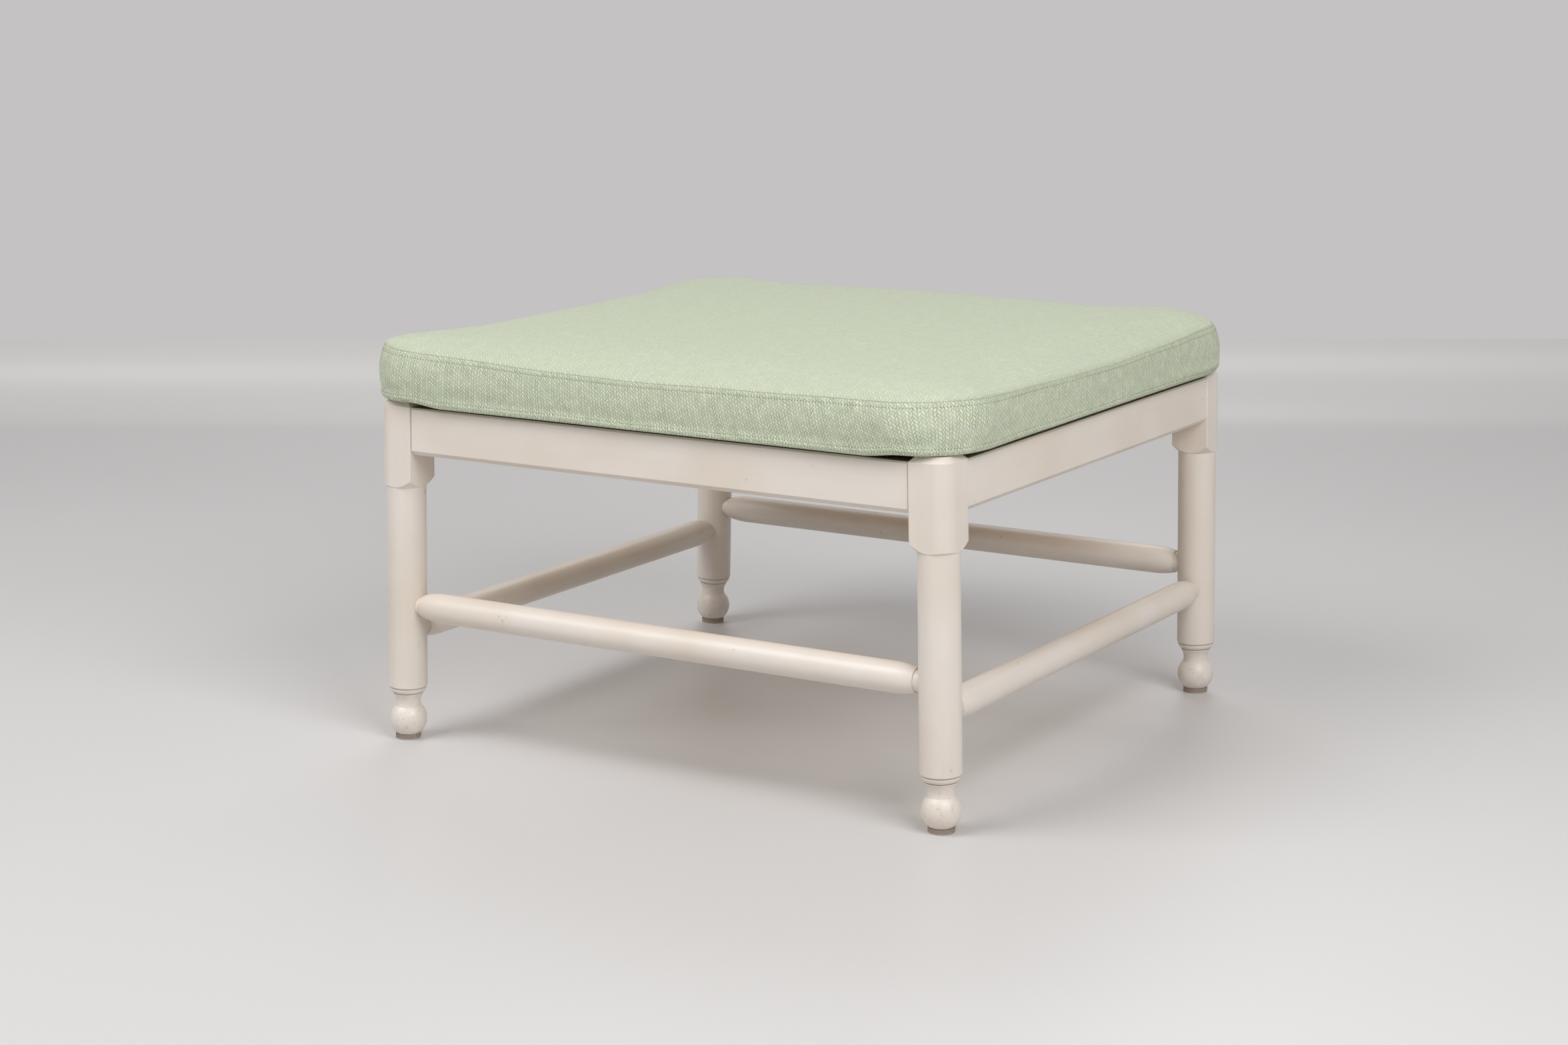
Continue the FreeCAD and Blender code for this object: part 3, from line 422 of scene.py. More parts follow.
@dataclass(frozen=True)
class MouldedGlide(Finish):
    """Dull polyethylene, moulded.

    The eye sees a matt grey-brown disc with a paler rim at its bottom edge, where it meets the floor.
    """

    name: str = "moulded_polyethylene"
    colour: str = "#8F8073"
    laid_over: str = "#CFC9C0"
    scuff: float = 3 * MM
    rim: Ramp = Ramp(1.4 * MM, 0.84 * MM)
    scuffed: Ramp = Ramp(0.5, 0.8, most=0.25)

    def surface(self, tree: bpy.types.NodeTree) -> dict[str, object]:
        """Adds the pale rim and scuffs.

        Args:
            tree: the material's node tree.

        Returns:
            The shader's inputs.
        """
        place = add_node(tree, Kind.COORDINATES).outputs["Object"]
        height = add_node(tree, Kind.SPLIT_XYZ, {0: place}).outputs["Z"]
        scuffs = add_node(tree, Kind.NOISE, {"Vector": place, "Scale": 1 / self.scuff, "Detail": 4.0})
        pale = add_node(tree, Kind.RANGE, self.rim.of(height))
        scuffed = add_node(tree, Kind.RANGE, self.scuffed.of(scuffs))
        most = add_node(tree, Kind.MATH, {0: pale, 1: scuffed}, operation="MAXIMUM")
        return {
            "Base Color": lay_colours(tree, self.colour, (most, self.laid_over)),
            "Normal": add_node(tree, Kind.BUMP, {"Height": scuffs, "Strength": 0.2, "Distance": 0.3 * MM}),
            "Roughness": 0.5,
            "IOR": 1.51,
        }


@dataclass(frozen=True)
class HerringboneCloth(Finish):
    """Upholstery cloth, woven from mixed pale green yarns in a small, uneven herringbone.

    The eye sees upright columns of short slanting strokes, wide and narrow columns in turn, that lean
    opposite ways, and a thin dark line between them, which is partly darker yarn and partly painted shade
    in the hollow. The strokes are ragged, clear in some places and run together in others, and patches of
    yarn are yellower, greener or greyer than the rest. The pattern follows the cloth's own map, in metres.
    The fibre is drawn some ten times its real width, because the real one is too fine to show.
    """

    name: str = "woven_herringbone_cloth"
    light: str = "#E0E5CF"
    middle: str = "#C0C8B0"
    gap_yarn_and_shade: str = "#949B80"
    yellow: str = "#D6D7BA"
    green: str = "#B9D0B5"
    grey: str = "#C8C9C0"
    fuzz: str = "#EEF2E4"
    column: float = 6.1 * MM
    row: float = 3.7 * MM
    wide_share: float = 0.57
    shift: float = 0.5
    wander: float = 1.4 * MM
    wander_size: float = 16 * MM
    ragged: float = 1.5 * MM
    ragged_size: float = 1.5 * MM
    patch: float = 30 * MM
    clear: float = 11 * MM
    fibre: float = 0.5 * MM
    fibre_height: float = 0.3
    relief: float = 0.4 * MM
    contrast: float = 0.75
    faintest: float = 0.35
    clearing: tuple[float, float] = (0.3, 0.65)
    hump: Ramp = Ramp(0.02, 0.5)
    edge: Ramp = Ramp(0.0, 0.16)
    hollow_shade: Ramp = Ramp(0.0, 0.4, 1.0, 0.0)
    dull: Ramp = Ramp(0.2, 1.0, most=0.8)
    tinted: Ramp = Ramp(0.54, 0.72, most=0.6)

    def stray(self, tree: bpy.types.NodeTree, cloth: bpy.types.Node) -> bpy.types.Node:
        """Lets the pattern wander over the cloth and makes its strokes ragged.

        Args:
            tree: the material's node tree.
            cloth: the cloth's map.

        Returns:
            The node that gives the strayed places.
        """
        moved = cloth
        strays = (self.wander, self.wander_size, 2.0), (self.ragged, self.ragged_size, 1.0)
        for amount, size, detail in strays:
            noise = add_node(tree, Kind.NOISE, {"Vector": cloth, "Scale": 1 / size, "Detail": detail})
            # A noise's colour lies round a half, so this leaves an offset to both sides.
            inputs = {0: noise.outputs["Color"], 1: (0.5, 0.5, 0.5)}
            shift = add_node(tree, Kind.VECTOR_MATH, inputs, operation="SUBTRACT")
            inputs = {0: shift, 1: (amount,) * 3, 2: moved}
            moved = add_node(tree, Kind.VECTOR_MATH, inputs, operation="MULTIPLY_ADD")
        return moved

    def strokes(
        self, tree: bpy.types.NodeTree, moved: bpy.types.Node
    ) -> tuple[bpy.types.Node, bpy.types.Node]:
        """Draws the columns of slanting strokes.

        Args:
            tree: the material's node tree.
            moved: the strayed places.

        Returns:
            The strokes' height, from 0 between them to 1, and a chance value for each stroke.
        """
        flat = add_node(tree, Kind.SPLIT_XYZ, {0: moved}).outputs
        across = add_node(tree, Kind.MATH, {0: flat["X"], 1: self.column}, operation="DIVIDE")
        up = add_node(tree, Kind.MATH, {0: flat["Y"], 1: self.row}, operation="DIVIDE")
        place = add_node(tree, Kind.MATH, {0: across}, operation="FRACT")
        column = add_node(tree, Kind.MATH, {0: across}, operation="FLOOR")
        side = add_node(tree, Kind.MATH, {0: place, 1: self.wide_share}, operation="GREATER_THAN")
        # The strokes of a wide column slant one way, and those of the narrow one beside it the other.
        fall = add_node(tree, Kind.RANGE, Ramp(end=self.wide_share).of(place))
        rise = add_node(tree, Kind.RANGE, Ramp(start=self.wide_share, most=-1.0).of(place))
        slope = add_node(tree, Kind.MATH, {0: up, 1: fall}, operation="ADD")
        slope = add_node(tree, Kind.MATH, {0: slope, 1: rise}, operation="ADD")
        stagger = add_node(tree, Kind.MATH, {0: side, 1: self.shift, 2: slope}, operation="MULTIPLY_ADD")
        # Each column and stroke has its own number, and so its own chance value.
        half = add_node(tree, Kind.MATH, {0: column, 1: 2.0, 2: side}, operation="MULTIPLY_ADD")
        stroke = add_node(tree, Kind.MATH, {0: stagger}, operation="FLOOR")
        cell = add_node(tree, Kind.JOIN_XYZ, {0: half, 1: stroke})
        chance = add_node(tree, Kind.CHANCE, {"Vector": cell}, noise_dimensions="2D")
        # A stroke is round across, and sinks at both edges of its column.
        hump = add_node(tree, Kind.MATH, {0: stagger, 1: 0.5}, operation="PINGPONG")
        stand = add_node(tree, Kind.RANGE, self.hump.of(hump), interpolation_type="SMOOTHSTEP")
        border = add_node(tree, Kind.MATH, {0: place, 1: 0.5}, operation="PINGPONG")
        apex = add_node(tree, Kind.MATH, {0: place, 1: self.wide_share}, operation="SUBTRACT")
        apex = add_node(tree, Kind.MATH, {0: apex}, operation="ABSOLUTE")
        edge = add_node(tree, Kind.MATH, {0: border, 1: apex}, operation="MINIMUM")
        body = add_node(tree, Kind.RANGE, self.edge.of(edge), interpolation_type="SMOOTHSTEP")
        return add_node(tree, Kind.MATH, {0: stand, 1: body}, operation="MULTIPLY"), chance

    def surface(self, tree: bpy.types.NodeTree) -> dict[str, object]:
        """Colours the strokes and gives them relief.

        Args:
            tree: the material's node tree.

        Returns:
            The shader's inputs.
        """
        cloth = add_node(tree, Kind.UV_MAP, uv_map="cloth")
        height, chance = self.strokes(tree, self.stray(tree, cloth))
        patchy = {"Vector": cloth, "Scale": 1 / self.patch, "Detail": 4.0, "Roughness": 0.75}
        patch = add_node(tree, Kind.NOISE, patchy)
        tints = add_node(tree, Kind.SPLIT_COLOUR, {0: patch.outputs["Color"]}).outputs
        layers = [(height, self.light)]
        for part, tint in enumerate((self.yellow, self.green, self.grey)):
            layers.append((add_node(tree, Kind.RANGE, self.tinted.of(tints[part])), tint))
        layers.append((add_node(tree, Kind.RANGE, self.dull.of(chance)), self.middle))
        clearness = add_node(tree, Kind.NOISE, {"Vector": cloth, "Scale": 1 / self.clear, "Detail": 2.0})
        clearing = Ramp(*self.clearing, self.faintest * self.contrast, self.contrast)
        clear = add_node(tree, Kind.RANGE, clearing.of(clearness))
        # The hollows between the strokes and at the columns' edges take the gap colour: partly darker yarn,
        # partly painted shade.
        hollow_shade = add_node(tree, Kind.RANGE, self.hollow_shade.of(height))
        layers.append((add_node(tree, Kind.MATH, {0: hollow_shade, 1: clear}, operation="MULTIPLY"), self.gap_yarn_and_shade))
        raised = add_node(tree, Kind.MATH, {0: height, 1: clear}, operation="MULTIPLY")
        fibre = add_node(tree, Kind.NOISE, {"Vector": cloth, "Scale": 1 / self.fibre, "Detail": 2.0})
        fuzzy = {0: fibre, 1: self.fibre_height, 2: raised}
        fuzzy = add_node(tree, Kind.MATH, fuzzy, operation="MULTIPLY_ADD")
        return {
            "Base Color": lay_colours(tree, self.middle, *layers),
            "Normal": add_node(tree, Kind.BUMP, {"Height": fuzzy, "Strength": 0.5, "Distance": self.relief}),
            "Roughness": 0.9,
            "Sheen Weight": 0.2,
            "Sheen Roughness": 0.5,
            "Sheen Tint": linear(self.fuzz),
            "Specular IOR Level": 0.25,
        }


@dataclass(frozen=True)
class SewingThread(Finish):
    """Spun polyester sewing thread.

    The eye sees a green thread, darker than the cloth, with a faint twist and a low sheen. Its darkness is
    partly painted shade of the holes that the stitches sink into. The twist is drawn about twice as coarse as
    the real one, which is too fine to show.
    """

    name: str = "spun_polyester_thread"
    colour: str = "#87946F"
    dark: str = "#6A7656"
    twist: float = 0.5 * MM

    def surface(self, tree: bpy.types.NodeTree) -> dict[str, object]:
        """Adds the twist.

        Args:
            tree: the material's node tree.

        Returns:
            The shader's inputs.
        """
        place = add_node(tree, Kind.COORDINATES).outputs["Object"]
        twist = add_node(tree, Kind.NOISE, {"Vector": place, "Scale": 1 / self.twist, "Detail": 1.0})
        # The thread's dark tone is partly painted shade of the stitch holes.
        return {"Base Color": lay_colours(tree, self.dark, (twist, self.colour)), "Roughness": 0.7}


@dataclass(frozen=True)
class CutFoam(Finish):
    """Open-cell polyurethane foam, cut to size.

    The eye sees a pale cream block full of small round cells, whose darker middles are painted shade in the
    pits. They are drawn about twice as coarse as real ones, which are too fine to show.
    """

    name: str = "cut_polyurethane_foam"
    wall: str = "#EFE8CB"
    cell_shade: str = "#CDC39D"
    cell: float = 1.6 * MM

    def surface(self, tree: bpy.types.NodeTree) -> dict[str, object]:
        """Adds the open cells.

        Args:
            tree: the material's node tree.

        Returns:
            The shader's inputs.
        """
        place = add_node(tree, Kind.COORDINATES).outputs["Object"]
        cells = add_node(tree, Kind.CELLS, {"Vector": place, "Scale": 1 / self.cell})
        return {
            # The cells' darker middles are painted shade in their pits.
            "Base Color": lay_colours(tree, self.cell_shade, (cells, self.wall)),
            "Normal": add_node(tree, Kind.BUMP, {"Height": cells, "Strength": 0.4, "Distance": 0.5 * MM}),
            "Roughness": 0.95,
        }


@dataclass(frozen=True)
class WovenTape(Finish):
    """Plain woven polyester tape, and the coil of nylon on it.

    The eye sees a fine flat weave in grey-green with a slight sheen. Its threads are drawn about three
    times their real width, because real ones are too fine to show.
    """

    name: str = "woven_polyester_tape"
    colour: str = "#A9B79C"
    dark: str = "#84937A"
    thread: float = 0.9 * MM
    soften: Ramp = Ramp(most=0.8)

    def surface(self, tree: bpy.types.NodeTree) -> dict[str, object]:
        """Adds the weave.

        Args:
            tree: the material's node tree.

        Returns:
            The shader's inputs.
        """
        place = add_node(tree, Kind.COORDINATES).outputs["Object"]
        weave = add_node(tree, Kind.CHECKER, {"Vector": place, "Scale": 1 / self.thread})
        soft = add_node(tree, Kind.RANGE, self.soften.of(weave.outputs["Fac"]))
        return {
            "Base Color": lay_colours(tree, self.colour, (soft, self.dark)),
            "Normal": add_node(tree, Kind.BUMP, {"Height": soft, "Strength": 0.3, "Distance": 0.2 * MM}),
            "Roughness": 0.6,
        }


@dataclass(frozen=True)
class StudioPaint(Finish):
    """Smooth floor paint, rolled on a level floor.

    The eye sees a pale, cool grey with faint clouds and a broad soft gloss, a little paler where the far
    edge turns up.
    """

    name: str = "rolled_floor_paint"
    colour: str = "#DAD8D7"
    cloudy: str = "#D1CFCE"
    turned_up: str = "#DEDBDB"
    edge_height: float = 0.1
    cloud: float = 0.9
    roughness: float = 0.42

    def surface(self, tree: bpy.types.NodeTree) -> dict[str, object]:
        """Adds faint clouds of tone and the paler edge.

        Args:
            tree: the material's node tree.

        Returns:
            The shader's inputs.
        """
        place = add_node(tree, Kind.COORDINATES).outputs["Object"]
        height = add_node(tree, Kind.SPLIT_XYZ, {0: place}).outputs["Z"]
        cloud = add_node(tree, Kind.NOISE, {"Vector": place, "Scale": 1 / self.cloud, "Detail": 3.0})
        edge = add_node(tree, Kind.RANGE, Ramp(end=self.edge_height).of(height))
        colour = lay_colours(tree, self.colour, (cloud, self.cloudy), (edge, self.turned_up))
        return {"Base Color": colour, "Roughness": self.roughness}


# The wooden frame


@dataclass
class WoodenFrame:
    """The rigid frame: painted legs, rails and stretchers, bare wood inside, steel and plastic fittings."""

    nodes: dict[str, bpy.types.Object]

    def finish_for(self, node: str) -> Finish | None:
        """Chooses the finish of a node.

        Args:
            node: the node's name.

        Returns:
            Its finish, or None for a soft node of the cushion.
        """
        run = Axis.X if node.endswith(("_front", "_back")) else Axis.Y
        if node.startswith("leg_"):
            return PaintedWood("enamel_on_turned_leg", Axis.Z)
        if node.startswith(("rail_dowels", "cleat_front", "cleat_back")):
            return BareWood("pine_along_x", Axis.X)
        if node.startswith(("rail_", "stretcher_")):
            return PaintedWood(f"enamel_along_{run.name.lower()}", run)
        if node.startswith(("seat_slat_", "corner_block_front", "corner_block_back")):
            return BareWood("pine_along_y", Axis.Y)
        if node.endswith(("_screws", "_nails")):
            return PlatedMetal()
        if node.startswith("glide_"):
            return MouldedGlide()
        if node in ("zip_slider", "zip_pull"):
            return NICKEL
        return None

    def dress(self) -> None:
        """Dresses every rigid node."""
        for name, node in self.nodes.items():
            finish = self.finish_for(name)
            if finish:
                node.data.materials.clear()
                node.data.materials.append(finish.material())
                log.info("%s: %s", name, finish.name)


# Meshes from grids of points


def piece_from(name: str, points: np.ndarray, faces: list, finish: Finish) -> bpy.types.Object:
    """Makes a smooth mesh object with one finish.

    Args:
        name: the piece's name.
        points: its vertices, in metres.
        faces: the vertex numbers of each face.
        finish: its finish.

    Returns:
        The new object, linked to the scene.
    """
    mesh = bpy.data.meshes.new(name)
    mesh.from_pydata(points.reshape(-1, 3).tolist(), [], faces)
    mesh.materials.append(finish.material())
    return add_piece(name, mesh)


def add_piece(name: str, mesh: bpy.types.Mesh) -> bpy.types.Object:
    """Puts a mesh into the scene as a smooth piece.

    Args:
        name: the piece's name.
        mesh: its mesh.

    Returns:
        The new object.
    """
    mesh.polygons.foreach_set("use_smooth", [True] * len(mesh.polygons))
    mesh.update()
    piece = bpy.data.objects.new(name, mesh)
    bpy.context.scene.collection.objects.link(piece)
    log.info("%s: %d faces", name, len(mesh.polygons))
    return piece


def grid_corners(values: np.ndarray, turned: bool = False) -> np.ndarray:
    """Gathers the four corners of each cell of a grid.

    Args:
        values: the grid, whose rows go up when its columns go to the right as seen from outside.
        turned: whether the corners run the other way round.

    Returns:
        Cells by four corners, and whatever each place of the grid holds.
    """
    corners = [values[:-1, :-1], values[:-1, 1:], values[1:, 1:], values[1:, :-1]]
    if turned:
        corners.reverse()
    cells = np.stack(corners, axis=2)
    return cells.reshape(-1, 4, *values.shape[2:])


def sheet_corners(layers: np.ndarray, turned: bool = False) -> np.ndarray:
    """Gathers the corners of the cells of a sheet with thickness: its two faces, and the rim between them.

    Args:
        layers: the outer and the inner grid.
        turned: whether the corners run the other way round.

    Returns:
        Cells by four corners, and whatever each place of the grids holds.
    """
    rim = np.stack([round_edge(layers[1]), round_edge(layers[0])])
    rim = np.concatenate([rim, rim[:, :1]], axis=1)
    outer, inner = grid_corners(layers[0], turned), grid_corners(layers[1], not turned)
    return np.concatenate([outer, inner, grid_corners(rim, turned)])


def map_cloth(piece: bpy.types.Object, corners: np.ndarray) -> None:
    """Writes a piece's cloth map: faces by four corners by two, in metres of cloth."""
    layer = piece.data.uv_layers.new(name="cloth")
    layer.data.foreach_set("uv", corners.reshape(-1).astype(np.float32))


def grid_normals(points: np.ndarray, closed: bool) -> np.ndarray:
    """Works out unit normals of a grid of points.

    Args:
        points: rows by columns by three.
        closed: whether the last column meets the first.

    Returns:
        A normal for each point, columns crossed with rows.
    """
    up = np.gradient(points, axis=0)
    if closed:
        across = np.roll(points, -1, axis=1) - np.roll(points, 1, axis=1)
    else:
        across = np.gradient(points, axis=1)
    normal = np.cross(across, up)
    return normal / np.maximum(np.linalg.norm(normal, axis=-1, keepdims=True), SMALLEST_AREA)


def spline_weights(places: np.ndarray, count: int, closed: bool) -> np.ndarray:
    """Works out the weights that read a smooth curve through evenly numbered points.

    Args:
        places: where to read, in point numbers.
        count: how many points there are.
        closed: whether the last point meets the first.

    Returns:
        One row of weights for each place, of a Catmull-Rom spline.
    """
    weights = np.zeros((len(places), count))
    for row, place in enumerate(places):
        start = math.floor(place)
        start = start if closed else min(start, count - 2)
        t = place - start
        parts = (
            (-t + 2 * t**2 - t**3) / 2,
            (2 - 5 * t**2 + 3 * t**3) / 2,
            (t + 4 * t**2 - 3 * t**3) / 2,
            (t**3 - t**2) / 2,
        )
        for number, part in enumerate(parts, start - 1):
            number = number % count if closed else min(max(number, 0), count - 1)
            weights[row, number] += part
    return weights


def ease(value: np.ndarray) -> np.ndarray:
    """Eases from 0 to 1, level at both ends."""
    share = np.clip(value, 0, 1)
    return share * share * (3 - 2 * share)


def dome(share: np.ndarray) -> np.ndarray:
    """A quarter of a round: steep at 0 and level at 1."""
    return np.sqrt(1 - (1 - np.clip(share, 0, 1)) ** 2)


def groove(distance: np.ndarray, width: float) -> np.ndarray:
    """A soft line, 1 at its middle and near 0 at twice its width."""
    return np.exp(-((distance / width) ** 2))


def waves(place: np.ndarray, counts: tuple[int, ...], seed: int) -> np.ndarray:
    """An uneven wave round the cushion, mostly between -1 and 1.

    Args:
        place: place round the cushion, from 0 to 4.
        counts: how many waves each part of it has in one round.
        seed: which of the uneven waves.

    Returns:
        The wave's height at each place.
    """
    draws = np.random.default_rng(seed).uniform(0, 2 * math.pi, len(counts))
    total = sum(np.sin(place * math.pi / 2 * count + draw) for count, draw in zip(counts, draws))
    return total / len(counts) ** 0.5


def blend_sides(line: Callable[[np.ndarray], np.ndarray], u: np.ndarray, v: np.ndarray) -> np.ndarray:
    """Fills a closed line that goes round four sides with a grid.

    Args:
        line: gives what lies at places from 0 to 4.
        u: shares from left to right.
        v: shares from front to back.

    Returns:
        Rows by columns of what the line gives.
    """
    front, right, back, left = line(u), line(1 + v), line(3 - u), line(4 - v)
    across, up = u[None, :, None], v[:, None, None]
    between = (1 - up) * front[None] + up * back[None]
    between = between + (1 - across) * left[:, None] + across * right[:, None]
    low = (1 - across) * front[0] + across * front[-1]
    high = (1 - across) * back[0] + across * back[-1]
    return between - (1 - up) * low - up * high


def round_edge(grid: np.ndarray) -> np.ndarray:
    """The outer places of a grid in order, from the front round to the left."""
    return np.concatenate([grid[0, :-1], grid[:-1, -1], grid[-1, :0:-1], grid[:0:-1, 0]])


# The cushion


@dataclass(frozen=True)
class Ring:
    """A level ring round the cushion: round corners, and sides drawn in at their middles."""

    half_x: float
    half_y: float
    corners: np.ndarray
    pull: float
    arc_share: float

    def at(self, place: np.ndarray) -> np.ndarray:
        """Works out points of the ring.

        Args:
            place: the side's number, from the front round to the left, plus a share of the side.

        Returns:
            X and Y of each point.
        """
        side = np.floor(place).astype(int) % 4
        share = place - np.floor(place)
        half = np.where(side % 2 == 0, self.half_x, self.half_y)
        out = np.where(side % 2 == 0, self.half_y, self.half_x)
        before, after = self.corners[side], self.corners[(side + 1) % 4]
        straight = np.clip((share - self.arc_share) / (1 - 2 * self.arc_share), 0, 1)
        first = np.clip((self.arc_share - share) / self.arc_share, 0, 1) * math.pi / 4
        last = np.clip((share - 1 + self.arc_share) / self.arc_share, 0, 1) * math.pi / 4
        a = (before - half) * (1 - straight) + (half - after) * straight
        a += after * np.sin(last) - before * np.sin(first)
        b = out - before * (1 - np.cos(first)) - after * (1 - np.cos(last))
        b -= self.pull * (1 - (straight * 2 - 1) ** 4)
        angle = side * math.pi / 2
        x, y = a * np.cos(angle) + b * np.sin(angle), a * np.sin(angle) - b * np.cos(angle)
        return np.stack([x, y], axis=-1)

    def depth(self, flat: np.ndarray) -> np.ndarray:
        """Works out how far inside the ring points lie, for a ring whose sides aren't drawn in.

        Args:
            flat: X and Y of each point.

        Returns:
            The depths. Those of points outside are negative.
        """
        right, back = flat[..., 0] > 0, flat[..., 1] > 0
        corner = self.corners[np.where(back, 3 - right, right * 1)]
        over = np.abs(flat) - (np.array([self.half_x, self.half_y]) - corner[..., None])
        outside = np.linalg.norm(np.maximum(over, 0), axis=-1)
        return corner - outside - np.minimum(over.max(axis=-1), 0)


@dataclass
class CushionForm:
    """The cushion's form: what the foam gives it, and how the cloth fills out over that.

    A place round the cushion is the number of its side, from the front round to the left, plus a share of
    that side. What goes by side is given in that order, and what goes by corner from the front left one on.
    """

    corners_low: tuple[float, ...] = (44 * MM, 56 * MM, 56 * MM, 56 * MM)
    corners_high: tuple[float, ...] = (52 * MM, 72 * MM, 72 * MM, 72 * MM)
    flare: float = 1.5 * MM
    bulge: float = 6.0 * MM
    corner_swell: float = 7 * MM
    fullness: float = 0.72
    pull: float = 2 * MM
    side_pull: float = 3.4 * MM
    crown: float = 11 * MM
    crown_reach: float = 58 * MM
    centre_rise: float = 2 * MM
    seam_lifts: tuple[float, ...] = (6.5 * MM, 1.5 * MM, 3 * MM, 1.5 * MM)
    lift_share: float = 0.2
    seam_drops: tuple[float, ...] = (3.6 * MM, 5.0 * MM, -2.0 * MM, 2.0 * MM)
    clearance: float = 0.3 * MM
    edge_sags: tuple[float, ...] = (3.8 * MM, 1.5 * MM, 0, 2.0 * MM)
    sag_start: float = 225 * MM
    sag_end: float = 266 * MM
    ledge_width: float = 55 * MM
    slope_width: float = 45 * MM
    under_roll: float = 2.5 * MM
    under_roll_width: float = 5 * MM
    seam_wander: float = 0.4 * MM
    wander_reach: float = 80 * MM
    low_waves: tuple[int, ...] = (5, 9, 14, 23)
    low_seed: int = 4
    high_waves: tuple[int, ...] = (3, 7, 11, 19)
    high_seed: int = 5
    zip_middle: float = 2.5
    zip_reach: float = 1.1
    zip_fade: float = 5
    arc_share: float = 1 / 12
    cells: int = 72
    rows: int = 6
    frames: int = 20
    cap: float = 2.5 * MM
    pressure: float = 4.0
    slack: float = -0.02
    slack_inwards: tuple[float, ...] = (0.7, 0.3)
    held_rows: int = 3

    def __post_init__(self) -> None:
        """Reads the cushion's place from the frame, and lets the cloth fill out."""
        band_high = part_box("cushion_boxing")[1]
        under_low, under_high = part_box("cushion_bottom_panel")
        self.half_x, self.half_y = under_high.x, under_high.y
        self.high_z = band_high.z
        self.base_z = under_low.z + self.clearance
        self.ledge_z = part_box("leg_front_left")[1].z + self.clearance
        self.height = self.high_z - self.ledge_z - self.under_roll
        self.shifts = self.fill_out()

    def ring(self, share: float, pull: float | None = None) -> Ring:
        """Makes the ring at a share of the boxing's height.

        Args:
            share: 0 at the lower seam and 1 at the upper one.
            pull: how far its sides are drawn in, where that isn't what the cloth gives them.

        Returns:
            The ring.
        """
        swell = max(math.sin(math.pi * share), 0) ** self.fullness
        out = self.flare * share + self.bulge * swell
        corners = np.array(self.corners_low) * (1 - share) + np.array(self.corners_high) * share
        corners += self.corner_swell * swell
        pull = self.pull + self.side_pull * swell if pull is None else pull
        return Ring(self.half_x + out, self.half_y + out, corners, pull, self.arc_share)

    def under(self, flat: np.ndarray) -> np.ndarray:
        """Works out the underside: level on the legs' heads, and sagging between them onto the slats.

        Args:
            flat: X and Y of each point.

        Returns:
            The heights. The back edge, which the zip stiffens, doesn't sag.
        """
        x, y = flat[..., 0], flat[..., 1]
        sag_width = self.sag_end - self.sag_start
        free_x, free_y = (1 - ease((np.abs(part) - self.sag_start) / sag_width) for part in (x, y))
        front, right, back, left = self.edge_sags
        sag = free_x * (front * ease(-y / self.sag_start) + back * ease(y / self.sag_start))
        sag += free_y * (right * ease(x / self.sag_start) + left * ease(-x / self.sag_start))
        inside = ease((self.ring(0).depth(flat) - self.ledge_width) / self.slope_width)
        edge = self.ledge_z - sag
        return edge + (self.base_z - edge) * inside

    def wander(self, place: np.ndarray, share: float) -> np.ndarray:
        """Works out how far a seam strays from its level.

        The lower one doesn't along the zip, and the upper one drops between the corners.

        Args:
            place: place round the cushion, from 0 to 4.
            share: 0 for the lower seam and 1 for the upper one.

        Returns:
            The heights.
        """
        if share < 0.5:
            free = 1 - ease((self.zip_reach - np.abs(place - self.zip_middle)) * self.zip_fade)
            return waves(place, self.low_waves, self.low_seed) * self.seam_wander * free
        side = np.floor(place).astype(int) % 4
        between = place - np.floor(place)
        drop = np.array(self.seam_drops)[side] * np.sin(between * math.pi) ** 2
        lifts = np.array(self.seam_lifts)
        lift = lifts[side] * groove(between, self.lift_share)
        lift = lift + lifts[(side + 1) % 4] * groove(1 - between, self.lift_share)
        return waves(place, self.high_waves, self.high_seed) * self.seam_wander + lift - drop

    def seam_z(self, place: np.ndarray, share: float) -> np.ndarray:
        """Works out the height of a line along the boxing.

        Args:
            place: place round the cushion, from 0 to 4.
            share: 0 at the lower seam and 1 at the upper one.

        Returns:
            The heights.
        """
        low = self.under(self.ring(0).at(place)) + self.under_roll + self.wander(place, 0)
        high = self.high_z + self.wander(place, 1)
        return low + (high - low) * share

    def band(self, place: np.ndarray, shares: np.ndarray) -> np.ndarray:
        """Works out points of the boxing.

        Args:
            place: places round the cushion, from 0 to 4.
            shares: 0 at the lower seam and 1 at the upper one.

        Returns:
            A row of points for each share.
        """
        rows = [np.column_stack([self.ring(share).at(place), self.seam_z(place, share)]) for share in shares]
        rest = np.array(rows)
        if not self.shifts:
            return rest
        across = spline_weights(place * self.cells, 4 * self.cells, True)
        up = spline_weights(shares * self.rows, self.rows + 1, False)
        return rest + np.einsum("ra,cb,abk->rck", up, across, self.shifts["band"])

